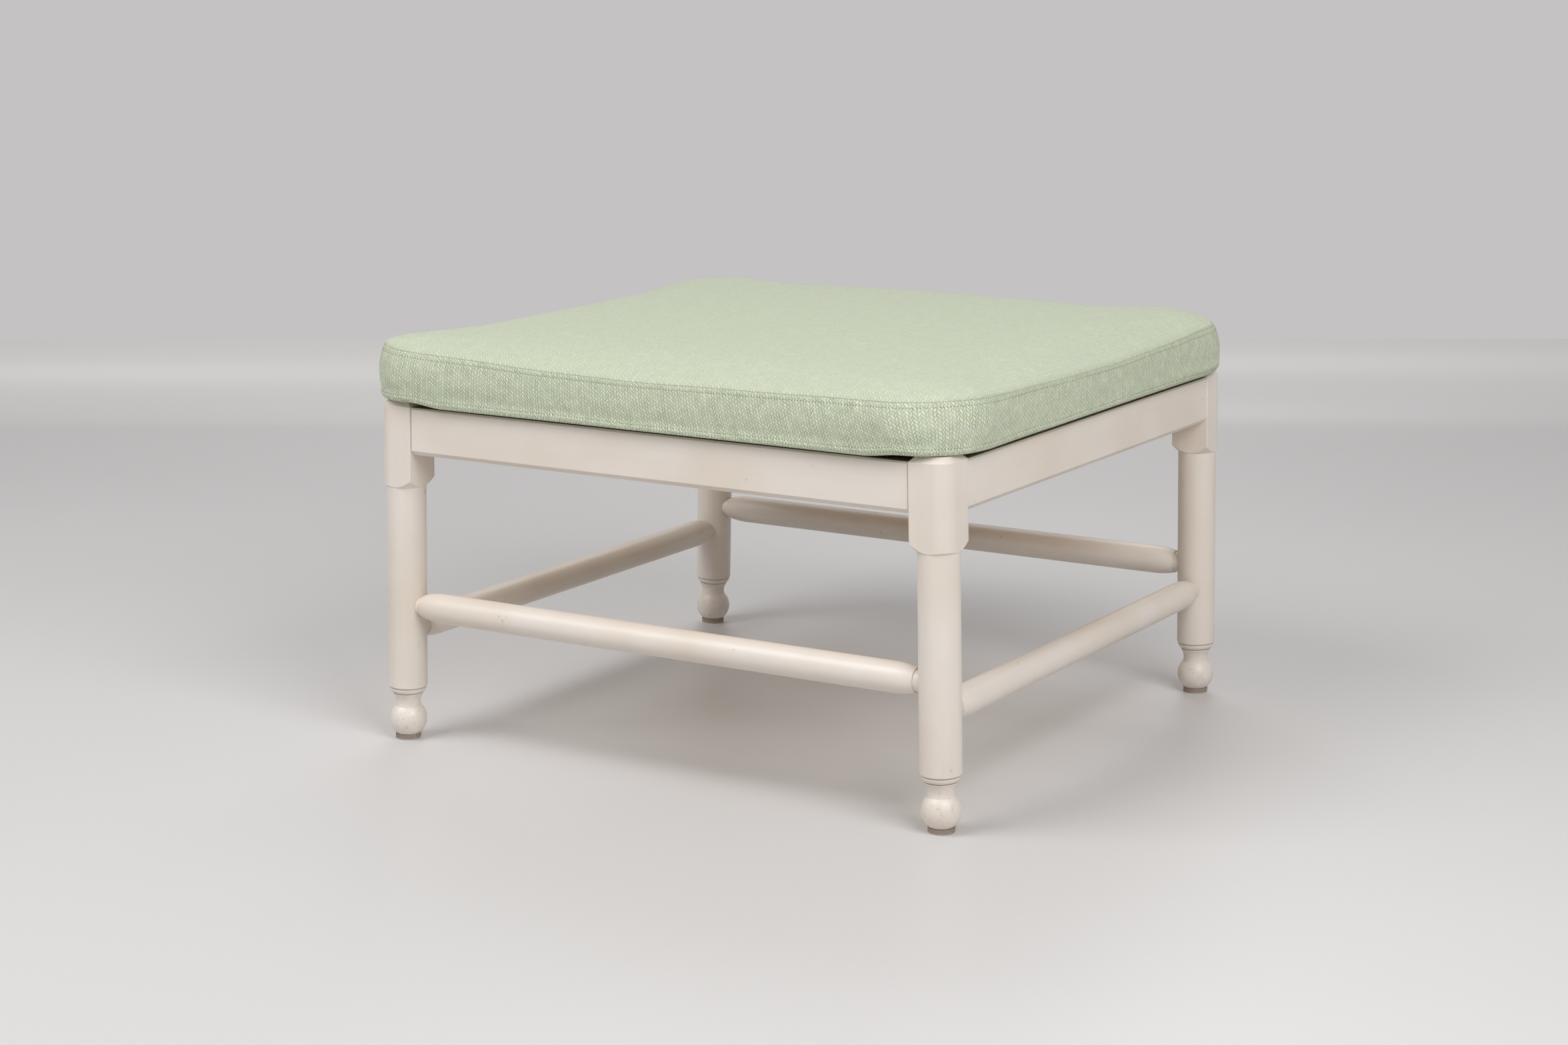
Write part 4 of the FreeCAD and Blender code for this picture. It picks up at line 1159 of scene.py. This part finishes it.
    def panel(self, u: np.ndarray, v: np.ndarray, top: bool) -> np.ndarray:
        """Works out points of the top or bottom panel.

        Args:
            u: shares from left to right.
            v: shares from front to back.
            top: which of the two.

        Returns:
            Rows of points.
        """
        share = 1.0 if top else 0.0
        even = self.ring(share, pull=0)
        flat = blend_sides(self.ring(share).at, u, v)
        level = blend_sides(even.at, u, v)
        depth = np.maximum(even.depth(level), 0)
        stray = blend_sides(lambda place: self.wander(place, share)[:, None], u, v)[..., 0]
        if top:
            middle = (1 - (level / [even.half_x, even.half_y]) ** 2).clip(0, 1).prod(axis=-1)
            height = self.high_z + stray * (1 - ease(depth / self.wander_reach))
            height += self.crown * dome(depth / self.crown_reach) + self.centre_rise * middle
        else:
            roll = (self.under_roll + stray) * (1 - dome(depth / self.under_roll_width))
            height = self.under(flat) + roll
        rest = np.dstack([flat, height])
        if not self.shifts:
            return rest
        across = spline_weights(u * self.cells, self.cells + 1, False)
        up = spline_weights(v * self.cells, self.cells + 1, False)
        return rest + np.einsum("ra,cb,abk->rck", up, across, self.shifts["top" if top else "bottom"])

    def closed_mesh(self) -> tuple[np.ndarray, list, dict[str, np.ndarray]]:
        """Makes the whole cushion as one closed form of even cells.

        Returns:
            Its points, its faces, and the numbers of the points of each panel.
        """
        line = np.linspace(0, 1, self.cells + 1)
        place = np.arange(4 * self.cells) / self.cells
        shares = np.linspace(0, 1, self.rows + 1)
        top, bottom = self.panel(line, line, True), self.panel(line, line, False)
        between = self.band(place, shares)[1:-1]
        numbers = {"top": np.arange(top[..., 0].size).reshape(top.shape[:2])}
        numbers["bottom"] = numbers["top"] + numbers["top"].size
        inner = np.arange(between[..., 0].size).reshape(between.shape[:2]) + 2 * numbers["top"].size
        numbers["band"] = np.vstack([round_edge(numbers["bottom"]), inner, round_edge(numbers["top"])])
        ringed = np.hstack([numbers["band"], numbers["band"][:, :1]])
        faces = [grid_corners(numbers["top"]), grid_corners(numbers["bottom"], True), grid_corners(ringed)]
        points = np.concatenate([part.reshape(-1, 3) for part in (top, bottom, between)])
        return points, np.concatenate(faces).tolist(), numbers

    def fill_out(self) -> dict[str, np.ndarray]:
        """Blows the cloth out a little over the foam, as a tight cover does, with slack along its seams.
        """
        self.shifts = {}
        points, faces, numbers = self.closed_mesh()
        blank = piece_from("cover_blank", points, faces, CutFoam())
        # The underside lies on the frame and the zip stiffens the back, so these are held.
        held = blank.vertex_groups.new(name="held")
        held.add(numbers["bottom"].ravel().tolist(), 1.0, "REPLACE")
        back = numbers["band"][:self.held_rows, 2 * self.cells:3 * self.cells + 1]
        held.add(back.ravel().tolist(), 1.0, "REPLACE")
        gathered = blank.vertex_groups.new(name="gathered")
        gathered.add(numbers["band"].ravel().tolist(), 1.0, "REPLACE")
        for depth, weight in enumerate(self.slack_inwards, 1):
            rim = round_edge(numbers["top"][depth:-depth, depth:-depth])
            gathered.add(rim.tolist(), weight, "REPLACE")
        cloth = blank.modifiers.new("cover", "CLOTH")
        settings = cloth.settings
        settings.quality = 6
        settings.mass = 0.4
        settings.tension_stiffness = settings.compression_stiffness = 30
        settings.shear_stiffness = 12
        settings.bending_stiffness = 1.5
        settings.use_pressure = True
        settings.uniform_pressure_force = self.pressure
        settings.vertex_group_mass = held.name
        settings.vertex_group_shrink = gathered.name
        settings.shrink_max = self.slack
        settings.effector_weights.gravity = 0
        cloth.collision_settings.use_collision = False
        cloth.point_cache.frame_end = self.frames
        scene = bpy.context.scene
        for frame in range(1, self.frames + 1):
            scene.frame_set(frame)
        filled = blank.evaluated_get(bpy.context.evaluated_depsgraph_get()).to_mesh()
        moved = np.empty(len(points) * 3)
        filled.vertices.foreach_get("co", moved)
        scene.frame_set(1)
        bpy.data.objects.remove(blank)
        shift = moved.reshape(-1, 3) - points
        length = np.linalg.norm(shift, axis=1, keepdims=True)
        log.info("cloth: moved %.2f mm at most before its cap", length.max() / MM)
        shift *= np.tanh(length / self.cap) * self.cap / np.maximum(length, SMALLEST_MOVE)
        return {panel: shift[number] for panel, number in numbers.items()}


@dataclass
class Cushion:
    """The loose box cushion: three sewn panels round a foam core, topstitched, with a zip at the back.

    The rows of points near a seam lie at seam_rows from it, in millimetres. The stitches are drawn about
    twice as thick as real ones, which are too fine to show.
    """

    form: CushionForm
    cloth: float = 1.2 * MM
    crease_low: float = 0.5 * MM
    crease_high: float = 0.22 * MM
    crease_width: float = 0.9 * MM
    sewn_width: float = 0.5 * MM
    roll: float = 0.12 * MM
    stitch_line: float = 4.0 * MM
    stitch_dip: float = 0.15 * MM
    stitch_dip_width: float = 1.0 * MM
    pucker: float = 0.45 * MM
    pucker_reach: float = 10 * MM
    puckers: tuple[int, ...] = (67, 83, 109, 131, 158)
    groups: tuple[int, ...] = (5, 8, 13)
    grouping: float = 0.6
    low_seed: int = 21
    high_seed: int = 31
    seam_rows: tuple[float, ...] = (0, 0.4, 0.8, 1.3, 2.0, 2.8, 3.4, 4.0, 4.6, 5.4, 6.8, 9.0)
    plain_rows: int = 8
    least_gap: float = 0.01
    column: float = 2.0 * MM
    cell: float = 4.2 * MM
    foam_inset: float = 2.5 * MM
    stitch_pitch: float = 3.0 * MM
    stitch_length: float = 1.5 * MM
    stitch_radius: float = 0.45 * MM
    stitch_sink: float = 0.2
    zip_stitch_sink: float = 0.4
    zip_stitch_rise: float = 1 * MM
    zip_z: float = 348.8 * MM
    zip_half: float = 230 * MM
    zip_points: int = 240
    slot_half: float = 3.9 * MM
    slot_depth: float = 1.2 * MM
    slot_lip: float = 1.1 * MM
    slot_step: float = 0.6 * MM
    slot_margin: float = 2 * MM
    tape: float = 0.4 * MM
    tape_top: float = 0.7 * MM
    tape_rows: int = 5
    coil_pitch: float = 1.3 * MM
    coil_size: tuple[float, ...] = (0.6 * MM, 1.1 * MM, 0.5 * MM)
    coil_apart: float = 0.7
    stop_size: tuple[float, ...] = (0.9 * MM, 2.4 * MM, 1.2 * MM)
    finish: HerringboneCloth = HerringboneCloth()
    # The top panel is the same cloth. This copy has fainter painted shade in its gaps, for the top seen at a
    # low angle, and light strokes painted darker, as shade over the top, which gets the most light.
    top_painted_tone: HerringboneCloth = HerringboneCloth(
        "woven_herringbone_cloth_pulled_flat", light="#D2D9C2", contrast=0.28
    )

    def zip_rows(self) -> np.ndarray:
        """Works out the rows of points round the zip.

        Returns:
            Their heights above the lower seam.
        """
        reach = self.slot_half + self.slot_margin
        heights = np.arange(self.zip_z - reach, self.zip_z + reach, self.slot_step)
        return heights - self.form.ledge_z - self.form.under_roll

    def relief(self, distance: np.ndarray, place: np.ndarray, crease: float, seed: int) -> np.ndarray:
        """Works out how far the cloth stands out beside a seam: crease, roll, stitch line and puckers.

        Args:
            distance: distance from the seam.
            place: place round the cushion, from 0 to 4.
            crease: depth of the crease.
            seed: which of the uneven waves.

        Returns:
            The heights, which are 0 at the seam itself, so that the panels meet there.
        """
        lift = -crease * groove(distance, self.crease_width)
        sewn = groove(distance, self.sewn_width)
        lift += self.roll * np.sin(np.clip(distance / self.stitch_line, 0, 1) * math.pi)
        lift -= self.stitch_dip * groove(distance - self.stitch_line, self.stitch_dip_width)
        grouped = np.clip(waves(place, self.groups, seed + 1) + self.grouping, 0, 2)
        folds = waves(place, self.puckers, seed) * grouped
        return (lift + self.pucker * folds * np.exp(-distance / self.pucker_reach)) * (1 - sewn)

    def build(self) -> None:
        """Makes every piece of the cushion."""
        self.make_band()
        self.make_panel(True)
        self.make_panel(False)
        self.make_core()
        self.make_zip()

    def make_band(self) -> None:
        """Makes the boxing: a strip of cloth round the cushion, with thickness."""
        form = self.form
        steps = np.array(self.seam_rows) * MM / form.height
        zip_rows = self.zip_rows() / form.height
        low = steps[steps < zip_rows[0] - self.least_gap]
        middle = np.linspace(zip_rows[-1], 1 - steps[-1], self.plain_rows)[1:-1]
        shares = np.concatenate([low, zip_rows, middle, 1 - steps[::-1]])
        count = round(4 * (form.half_x + form.half_y) / self.column / 4) * 4
        place = np.arange(count) * 4 / count
        base = form.band(place, shares)
        normal = grid_normals(base, True)
        heights = (shares * form.height)[:, None]
        lift = self.relief(heights, place[None], self.crease_low, self.low_seed)
        lift += self.relief(form.height - heights, place[None], self.crease_high, self.high_seed)
        lift -= self.slot_depth * self.zip_slot(base)
        outer = base + normal * lift[..., None]
        inner = base - normal * (self.cloth + self.slot_depth)
        inner[[0, -1]] = (outer - normal * self.cloth)[[0, -1]]
        # The inside of the strip never shows, and has four rows.
        few = [0, len(shares) // 3, 2 * len(shares) // 3, len(shares) - 1]
        rows = np.concatenate([outer, inner[few][::-1]])
        numbers = np.arange(rows[..., 0].size).reshape(rows.shape[:2])
        numbers = np.vstack([numbers, numbers[:1]])
        faces = grid_corners(np.hstack([numbers, numbers[:, :1]]))
        piece = piece_from("cushion_boxing_cloth", rows, faces.tolist(), self.finish)
        line = base[len(shares) // 2]
        length = np.linalg.norm(np.roll(line, -1, axis=0) - line, axis=1)
        # A whole number of the weave's columns goes round, so they meet where the map starts again.
        total = round(length.sum() / self.finish.column) * self.finish.column
        along = np.concatenate([[0], np.cumsum(length)]) / length.sum() * total
        climb = np.cumsum(np.linalg.norm(np.diff(base, axis=0, prepend=base[:1]), axis=-1), axis=0)
        climb = np.concatenate([climb, climb[few][::-1], climb[:1]])
        climb = np.hstack([climb, climb[:, :1]])
        map_cloth(piece, grid_corners(np.dstack([np.broadcast_to(along, climb.shape), climb])))
        self.declare_panel(piece, "cushion_boxing")
        for name, distance in (("lower", self.stitch_line), ("upper", form.height - self.stitch_line)):
            row = int(np.argmin(np.abs(shares * form.height - distance)))
            path = outer[row] - normal[row] * self.stitch_radius * self.stitch_sink
            self.stitch(f"cushion_stitching_{name}", path)

    def zip_slot(self, points: np.ndarray) -> np.ndarray:
        """Works out which points of the boxing lie in the slot of the zip.

        Args:
            points: the points.

        Returns:
            For each, 1 in the slot, 0 outside and something between on its lip.
        """
        across = ease((self.zip_half - np.abs(points[..., 0])) / self.slot_lip)
        up = ease((self.slot_half - np.abs(points[..., 2] - self.zip_z)) / self.slot_lip)
        return across * up * (points[..., 1] > 0)

    def make_zip(self) -> None:
        """Makes the zip in the back of the boxing: tape, two rows of coil, end stops and stitches."""
        form = self.form
        place = np.linspace(2 + form.arc_share, 3 - form.arc_share, self.zip_points)
        heights = np.linspace(-1, 1, self.tape_rows) * (self.slot_half - self.slot_lip / 2) + self.zip_z
        heights = np.append(heights, self.zip_z + self.slot_half + self.zip_stitch_rise)
        band = form.band(place, (heights - form.ledge_z - form.under_roll) / form.height)
        band = band[:, np.abs(band[0, :, 0]) < self.zip_half - self.slot_lip]
        normal = grid_normals(band, False)
        path = band[-1] - normal[-1] * self.stitch_radius * self.zip_stitch_sink
        self.stitch("zip_stitching", path, False)
        tape, out = band[:-1], normal[:-1]
        layers = np.stack([tape - out * self.tape_top, tape - out * (self.tape_top + self.tape)])
        numbers = np.arange(layers[..., 0].size).reshape(layers.shape[:3])
        piece = piece_from("zip_tape", layers, sheet_corners(numbers).tolist(), WovenTape())
        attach(piece, "cushion")
        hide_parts("cushion_zip")
        row = self.tape_rows // 2
        middle = tape[row] + out[row] * (self.coil_size[0] - self.tape_top)
        nylon = WovenTape("nylon_coil", colour="#B9C4AC")
        for name, side in (("upper", 1), ("lower", -1)):
            path = middle + [0, 0, side * self.coil_size[1] * self.coil_apart]
            # The two rows run opposite ways.
            coil = Repeat(f"zip_coil_{name}", path[::-side], False, nylon)
            piece = coil.along(self.coil_pitch, self.coil_size)
            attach(piece, "cushion")
        # A pitch longer than the zip leaves one stop at each of its ends.
        piece = Repeat("zip_end_stops", middle, False, NICKEL).along(2 * self.zip_half, self.stop_size)
        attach(piece, "cushion")

    def make_panel(self, top: bool) -> None:
        """Makes the top or bottom panel: a sheet of cloth with thickness.

        Args:
            top: which of the two.
        """
        form = self.form
        side = 2 * form.half_x
        steps = np.array(self.seam_rows) * MM / side
        middle = np.linspace(steps[-1], 1 - steps[-1], round(side / self.cell))[1:-1]
        line = np.concatenate([steps, middle, 1 - steps[::-1]])
        base = form.panel(line, line, top)
        normal = grid_normals(base, False)
        even = form.ring(1.0 if top else 0.0, pull=0)
        depth = np.maximum(even.depth(blend_sides(even.at, line, line)), 0)
        lift = -(self.crease_high if top else self.crease_low) * groove(depth, self.crease_width)
        lift *= 1 - groove(depth, self.sewn_width)
        outward = 1 if top else -1
        outer = base + normal * (lift * outward)[..., None]
        inner = base + normal * ((lift - self.cloth) * outward)[..., None]
        faces = sheet_corners(np.arange(2 * depth.size).reshape(2, *depth.shape), not top)
        name = "top" if top else "bottom"
        finish = self.top_painted_tone if top else self.finish
        piece = piece_from(f"cushion_{name}_cloth", np.stack([outer, inner]), faces.tolist(), finish)
        map_cloth(piece, sheet_corners(np.stack([base[..., :2]] * 2), not top))
        self.declare_panel(piece, f"cushion_{name}_panel")

    def make_core(self) -> None:
        """Makes the foam core, which fills the cover."""
        points, faces, _ = self.form.closed_mesh()
        core = piece_from("cushion_foam_core", points, faces, CutFoam())
        normals = np.empty(len(points) * 3)
        core.data.vertices.foreach_get("normal", normals)
        core.data.vertices.foreach_set("co", (points - normals.reshape(-1, 3) * self.foam_inset).ravel())
        core.data.update()
        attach(core, "cushion")
        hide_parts("cushion_foam")

    def declare_panel(self, piece: bpy.types.Object, node: str) -> None:
        """Hangs a panel of the cover on the cushion's body, and hides the node that it replaces.

        Args:
            piece: the panel.
            node: the CAD node that it replaces.
        """
        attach(piece, "cushion")
        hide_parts(node)

    def stitch(self, name: str, path: np.ndarray, closed: bool = True) -> None:
        """Sews a row of stitches.

        Args:
            name: the row's name.
            path: the points that it follows.
            closed: whether it goes all the way round.
        """
        size = (self.stitch_radius, self.stitch_radius, self.stitch_length / 2)
        piece = Repeat(name, path, closed, SewingThread()).along(self.stitch_pitch, size)
        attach(piece, "cushion")


@dataclass
class Repeat:
    """One small oval thing repeated along a path by Geometry Nodes."""

    name: str
    path: np.ndarray
    closed: bool
    finish: Finish
    segments: int = 6
    rings: int = 4

    def tree(self) -> bpy.types.NodeTree:
        """Builds the node tree: points at an even pitch along the path, and on each an oval that faces along.

        Returns:
            The tree. Its inputs are the path, the pitch and the half sizes of an oval.
        """
        tree = bpy.data.node_groups.new(f"{self.name}_repeat", "GeometryNodeTree")
        face = tree.interface
        face.new_socket("Geometry", in_out="INPUT", socket_type="NodeSocketGeometry")
        face.new_socket("Pitch", in_out="INPUT", socket_type="NodeSocketFloat")
        face.new_socket("Size", in_out="INPUT", socket_type="NodeSocketVector")
        face.new_socket("Geometry", in_out="OUTPUT", socket_type="NodeSocketGeometry")
        given = add_node(tree, Kind.GROUP_IN).outputs
        curve = add_node(tree, Kind.CURVE, {"Mesh": given["Geometry"]})
        spaced = add_node(tree, Kind.RESAMPLE, {"Curve": curve, "Length": given["Pitch"]}, mode="LENGTH")
        tangent = add_node(tree, Kind.TANGENT)
        facing = add_node(tree, Kind.ALIGN, {"Vector": tangent}, axis="Z")
        oval = add_node(tree, Kind.SPHERE, {"Segments": self.segments, "Rings": self.rings, "Radius": 1.0})
        placing = {"Points": spaced, "Instance": oval, "Rotation": facing, "Scale": given["Size"]}
        real = add_node(tree, Kind.REALIZE, {"Geometry": add_node(tree, Kind.INSTANCES, placing)})
        finished = {"Geometry": real, "Material": self.finish.material()}
        add_node(tree, Kind.GROUP_OUT, {"Geometry": add_node(tree, Kind.SET_MATERIAL, finished)})
        return tree

    def along(self, pitch: float, size: tuple[float, ...]) -> bpy.types.Object:
        """Runs the tree on the path, and keeps the result as a plain mesh.

        Args:
            pitch: distance from one to the next.
            size: half sizes of each, the last one along the path.

        Returns:
            The finished piece.
        """
        count = len(self.path)
        edges = [(number, (number + 1) % count) for number in range(count if self.closed else count - 1)]
        mesh = bpy.data.meshes.new(f"{self.name}_path")
        mesh.from_pydata(self.path.tolist(), edges, [])
        carrier = bpy.data.objects.new(f"{self.name}_path", mesh)
        bpy.context.scene.collection.objects.link(carrier)
        modifier = carrier.modifiers.new("repeat", "NODES")
        modifier.node_group = self.tree()
        sizes = {"Pitch": pitch, "Size": size}
        for item in modifier.node_group.interface.items_tree:
            if item.name in sizes:
                modifier[item.identifier] = sizes[item.name]
        graph = bpy.context.evaluated_depsgraph_get()
        mesh = bpy.data.meshes.new_from_object(carrier.evaluated_get(graph), depsgraph=graph)
        mesh.name = self.name
        bpy.data.objects.remove(carrier)
        return add_piece(self.name, mesh)


# The studio


@dataclass(frozen=True)
class Softbox:
    """A square lamp that looks at the floor under the stool.

    Its place is given in degrees round from the stool's front and up from the floor, and its power in watts.
    """

    name: str
    turn: float
    up: float
    power: float
    distance: float = 3.2
    size: float = 1.7


@dataclass
class Studio:
    """A level floor that turns up at its far edge, an even backdrop, soft lamps and the camera."""

    floor_front: float = -3.4
    floor_back: float = 1.65
    bend: float = 0.12
    bend_steps: int = 12
    half_width: float = 3.4
    lamps: tuple[Softbox, ...] = (
        Softbox("softbox_left", -30, 50, 47),
        Softbox("softbox_right", 60, 40, 54),
        Softbox("softbox_back", 205, 45, 16),
    )
    sky: float = 0.245
    sky_colour: str = "#FBFBFD"
    backdrop: str = "#C4C2C2"
    camera_place: tuple[float, float, float] = (1.4911, -2.53596, 0.81365)
    camera_tilt: float = 78.15
    camera_turn: float = 31.02
    lens: float = 69.42
    sensor: float = 36.0

    def build(self) -> None:
        """Makes the floor, the lamps, the backdrop and the camera."""
        self.make_floor()
        self.make_lamps()
        self.make_backdrop()
        self.make_camera()

    def make_floor(self) -> None:
        """Makes the floor and its turned-up far edge, in one sheet in line with the camera."""
        turn = math.radians(self.camera_turn)
        profile = [(self.floor_front, 0.0)]
        for step in range(self.bend_steps + 1):
            angle = math.pi / 2 * step / self.bend_steps
            depth, height = self.bend * math.sin(angle), self.bend * (1 - math.cos(angle))
            profile.append((self.floor_back + depth, height))
        points = []
        for depth, height in profile:
            for side in (-self.half_width, self.half_width):
                x = side * math.cos(turn) - depth * math.sin(turn)
                y = side * math.sin(turn) + depth * math.cos(turn)
                points.append((x, y, height))
        numbers = np.arange(len(points)).reshape(-1, 2)
        sheet = piece_from("studio_floor", np.array(points), grid_corners(numbers).tolist(), StudioPaint())

    def make_lamps(self) -> None:
        """Makes the softboxes."""
        for softbox in self.lamps:
            light = bpy.data.lights.new(softbox.name, "AREA")
            light.size = softbox.size
            light.energy = softbox.power
            lamp = bpy.data.objects.new(softbox.name, light)
            turn, up = math.radians(softbox.turn), math.radians(softbox.up)
            out = Vector((math.sin(turn) * math.cos(up), -math.cos(turn) * math.cos(up), math.sin(up)))
            lamp.location = out * softbox.distance
            lamp.rotation_euler = out.to_track_quat("Z", "Y").to_euler()
            bpy.context.scene.collection.objects.link(lamp)
            log.info("%s: %g W", softbox.name, softbox.power)

    def make_backdrop(self) -> None:
        """Makes an even sky that lights the stool, and the grey that shows behind it and in its gloss."""
        world = bpy.data.worlds.new("sky_and_backdrop")
        world.use_nodes = True
        tree = world.node_tree
        sky = tree.nodes["Background"]
        set_inputs(tree, sky, {"Color": linear(self.sky_colour), "Strength": self.sky})
        wall = add_node(tree, Kind.BACKGROUND, {"Color": linear(self.backdrop)})
        path = add_node(tree, Kind.LIGHT_PATH).outputs
        seen = {0: path["Is Camera Ray"], 1: path["Is Glossy Ray"]}
        seen = add_node(tree, Kind.MATH, seen, operation="MAXIMUM")
        seen = add_node(tree, Kind.MATH, {0: seen, 1: path["Is Transmission Ray"]}, operation="MAXIMUM")
        both = add_node(tree, Kind.MIX_SHADERS, {0: seen, 1: sky, 2: wall})
        set_inputs(tree, tree.nodes["World Output"], {"Surface": both})
        bpy.context.scene.world = world

    def make_camera(self) -> None:
        """Makes the camera of the photograph."""
        lens = bpy.data.cameras.new("camera")
        lens.lens = self.lens
        lens.sensor_width = self.sensor
        camera = bpy.data.objects.new("camera", lens)
        camera.location = self.camera_place
        camera.rotation_euler = (math.radians(self.camera_tilt), 0, math.radians(self.camera_turn))
        scene = bpy.context.scene
        scene.collection.objects.link(camera)
        scene.camera = camera
        scene.view_settings.view_transform = "Standard"


def main() -> None:
    """Builds the footstool's looks piece by piece."""
    logging.basicConfig(level=logging.INFO, format="%(name)s: %(message)s")
    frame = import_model()
    WoodenFrame(frame["nodes"]).dress()
    Cushion(CushionForm()).build()
    Studio().build()


if __name__ == "__main__":
    main()
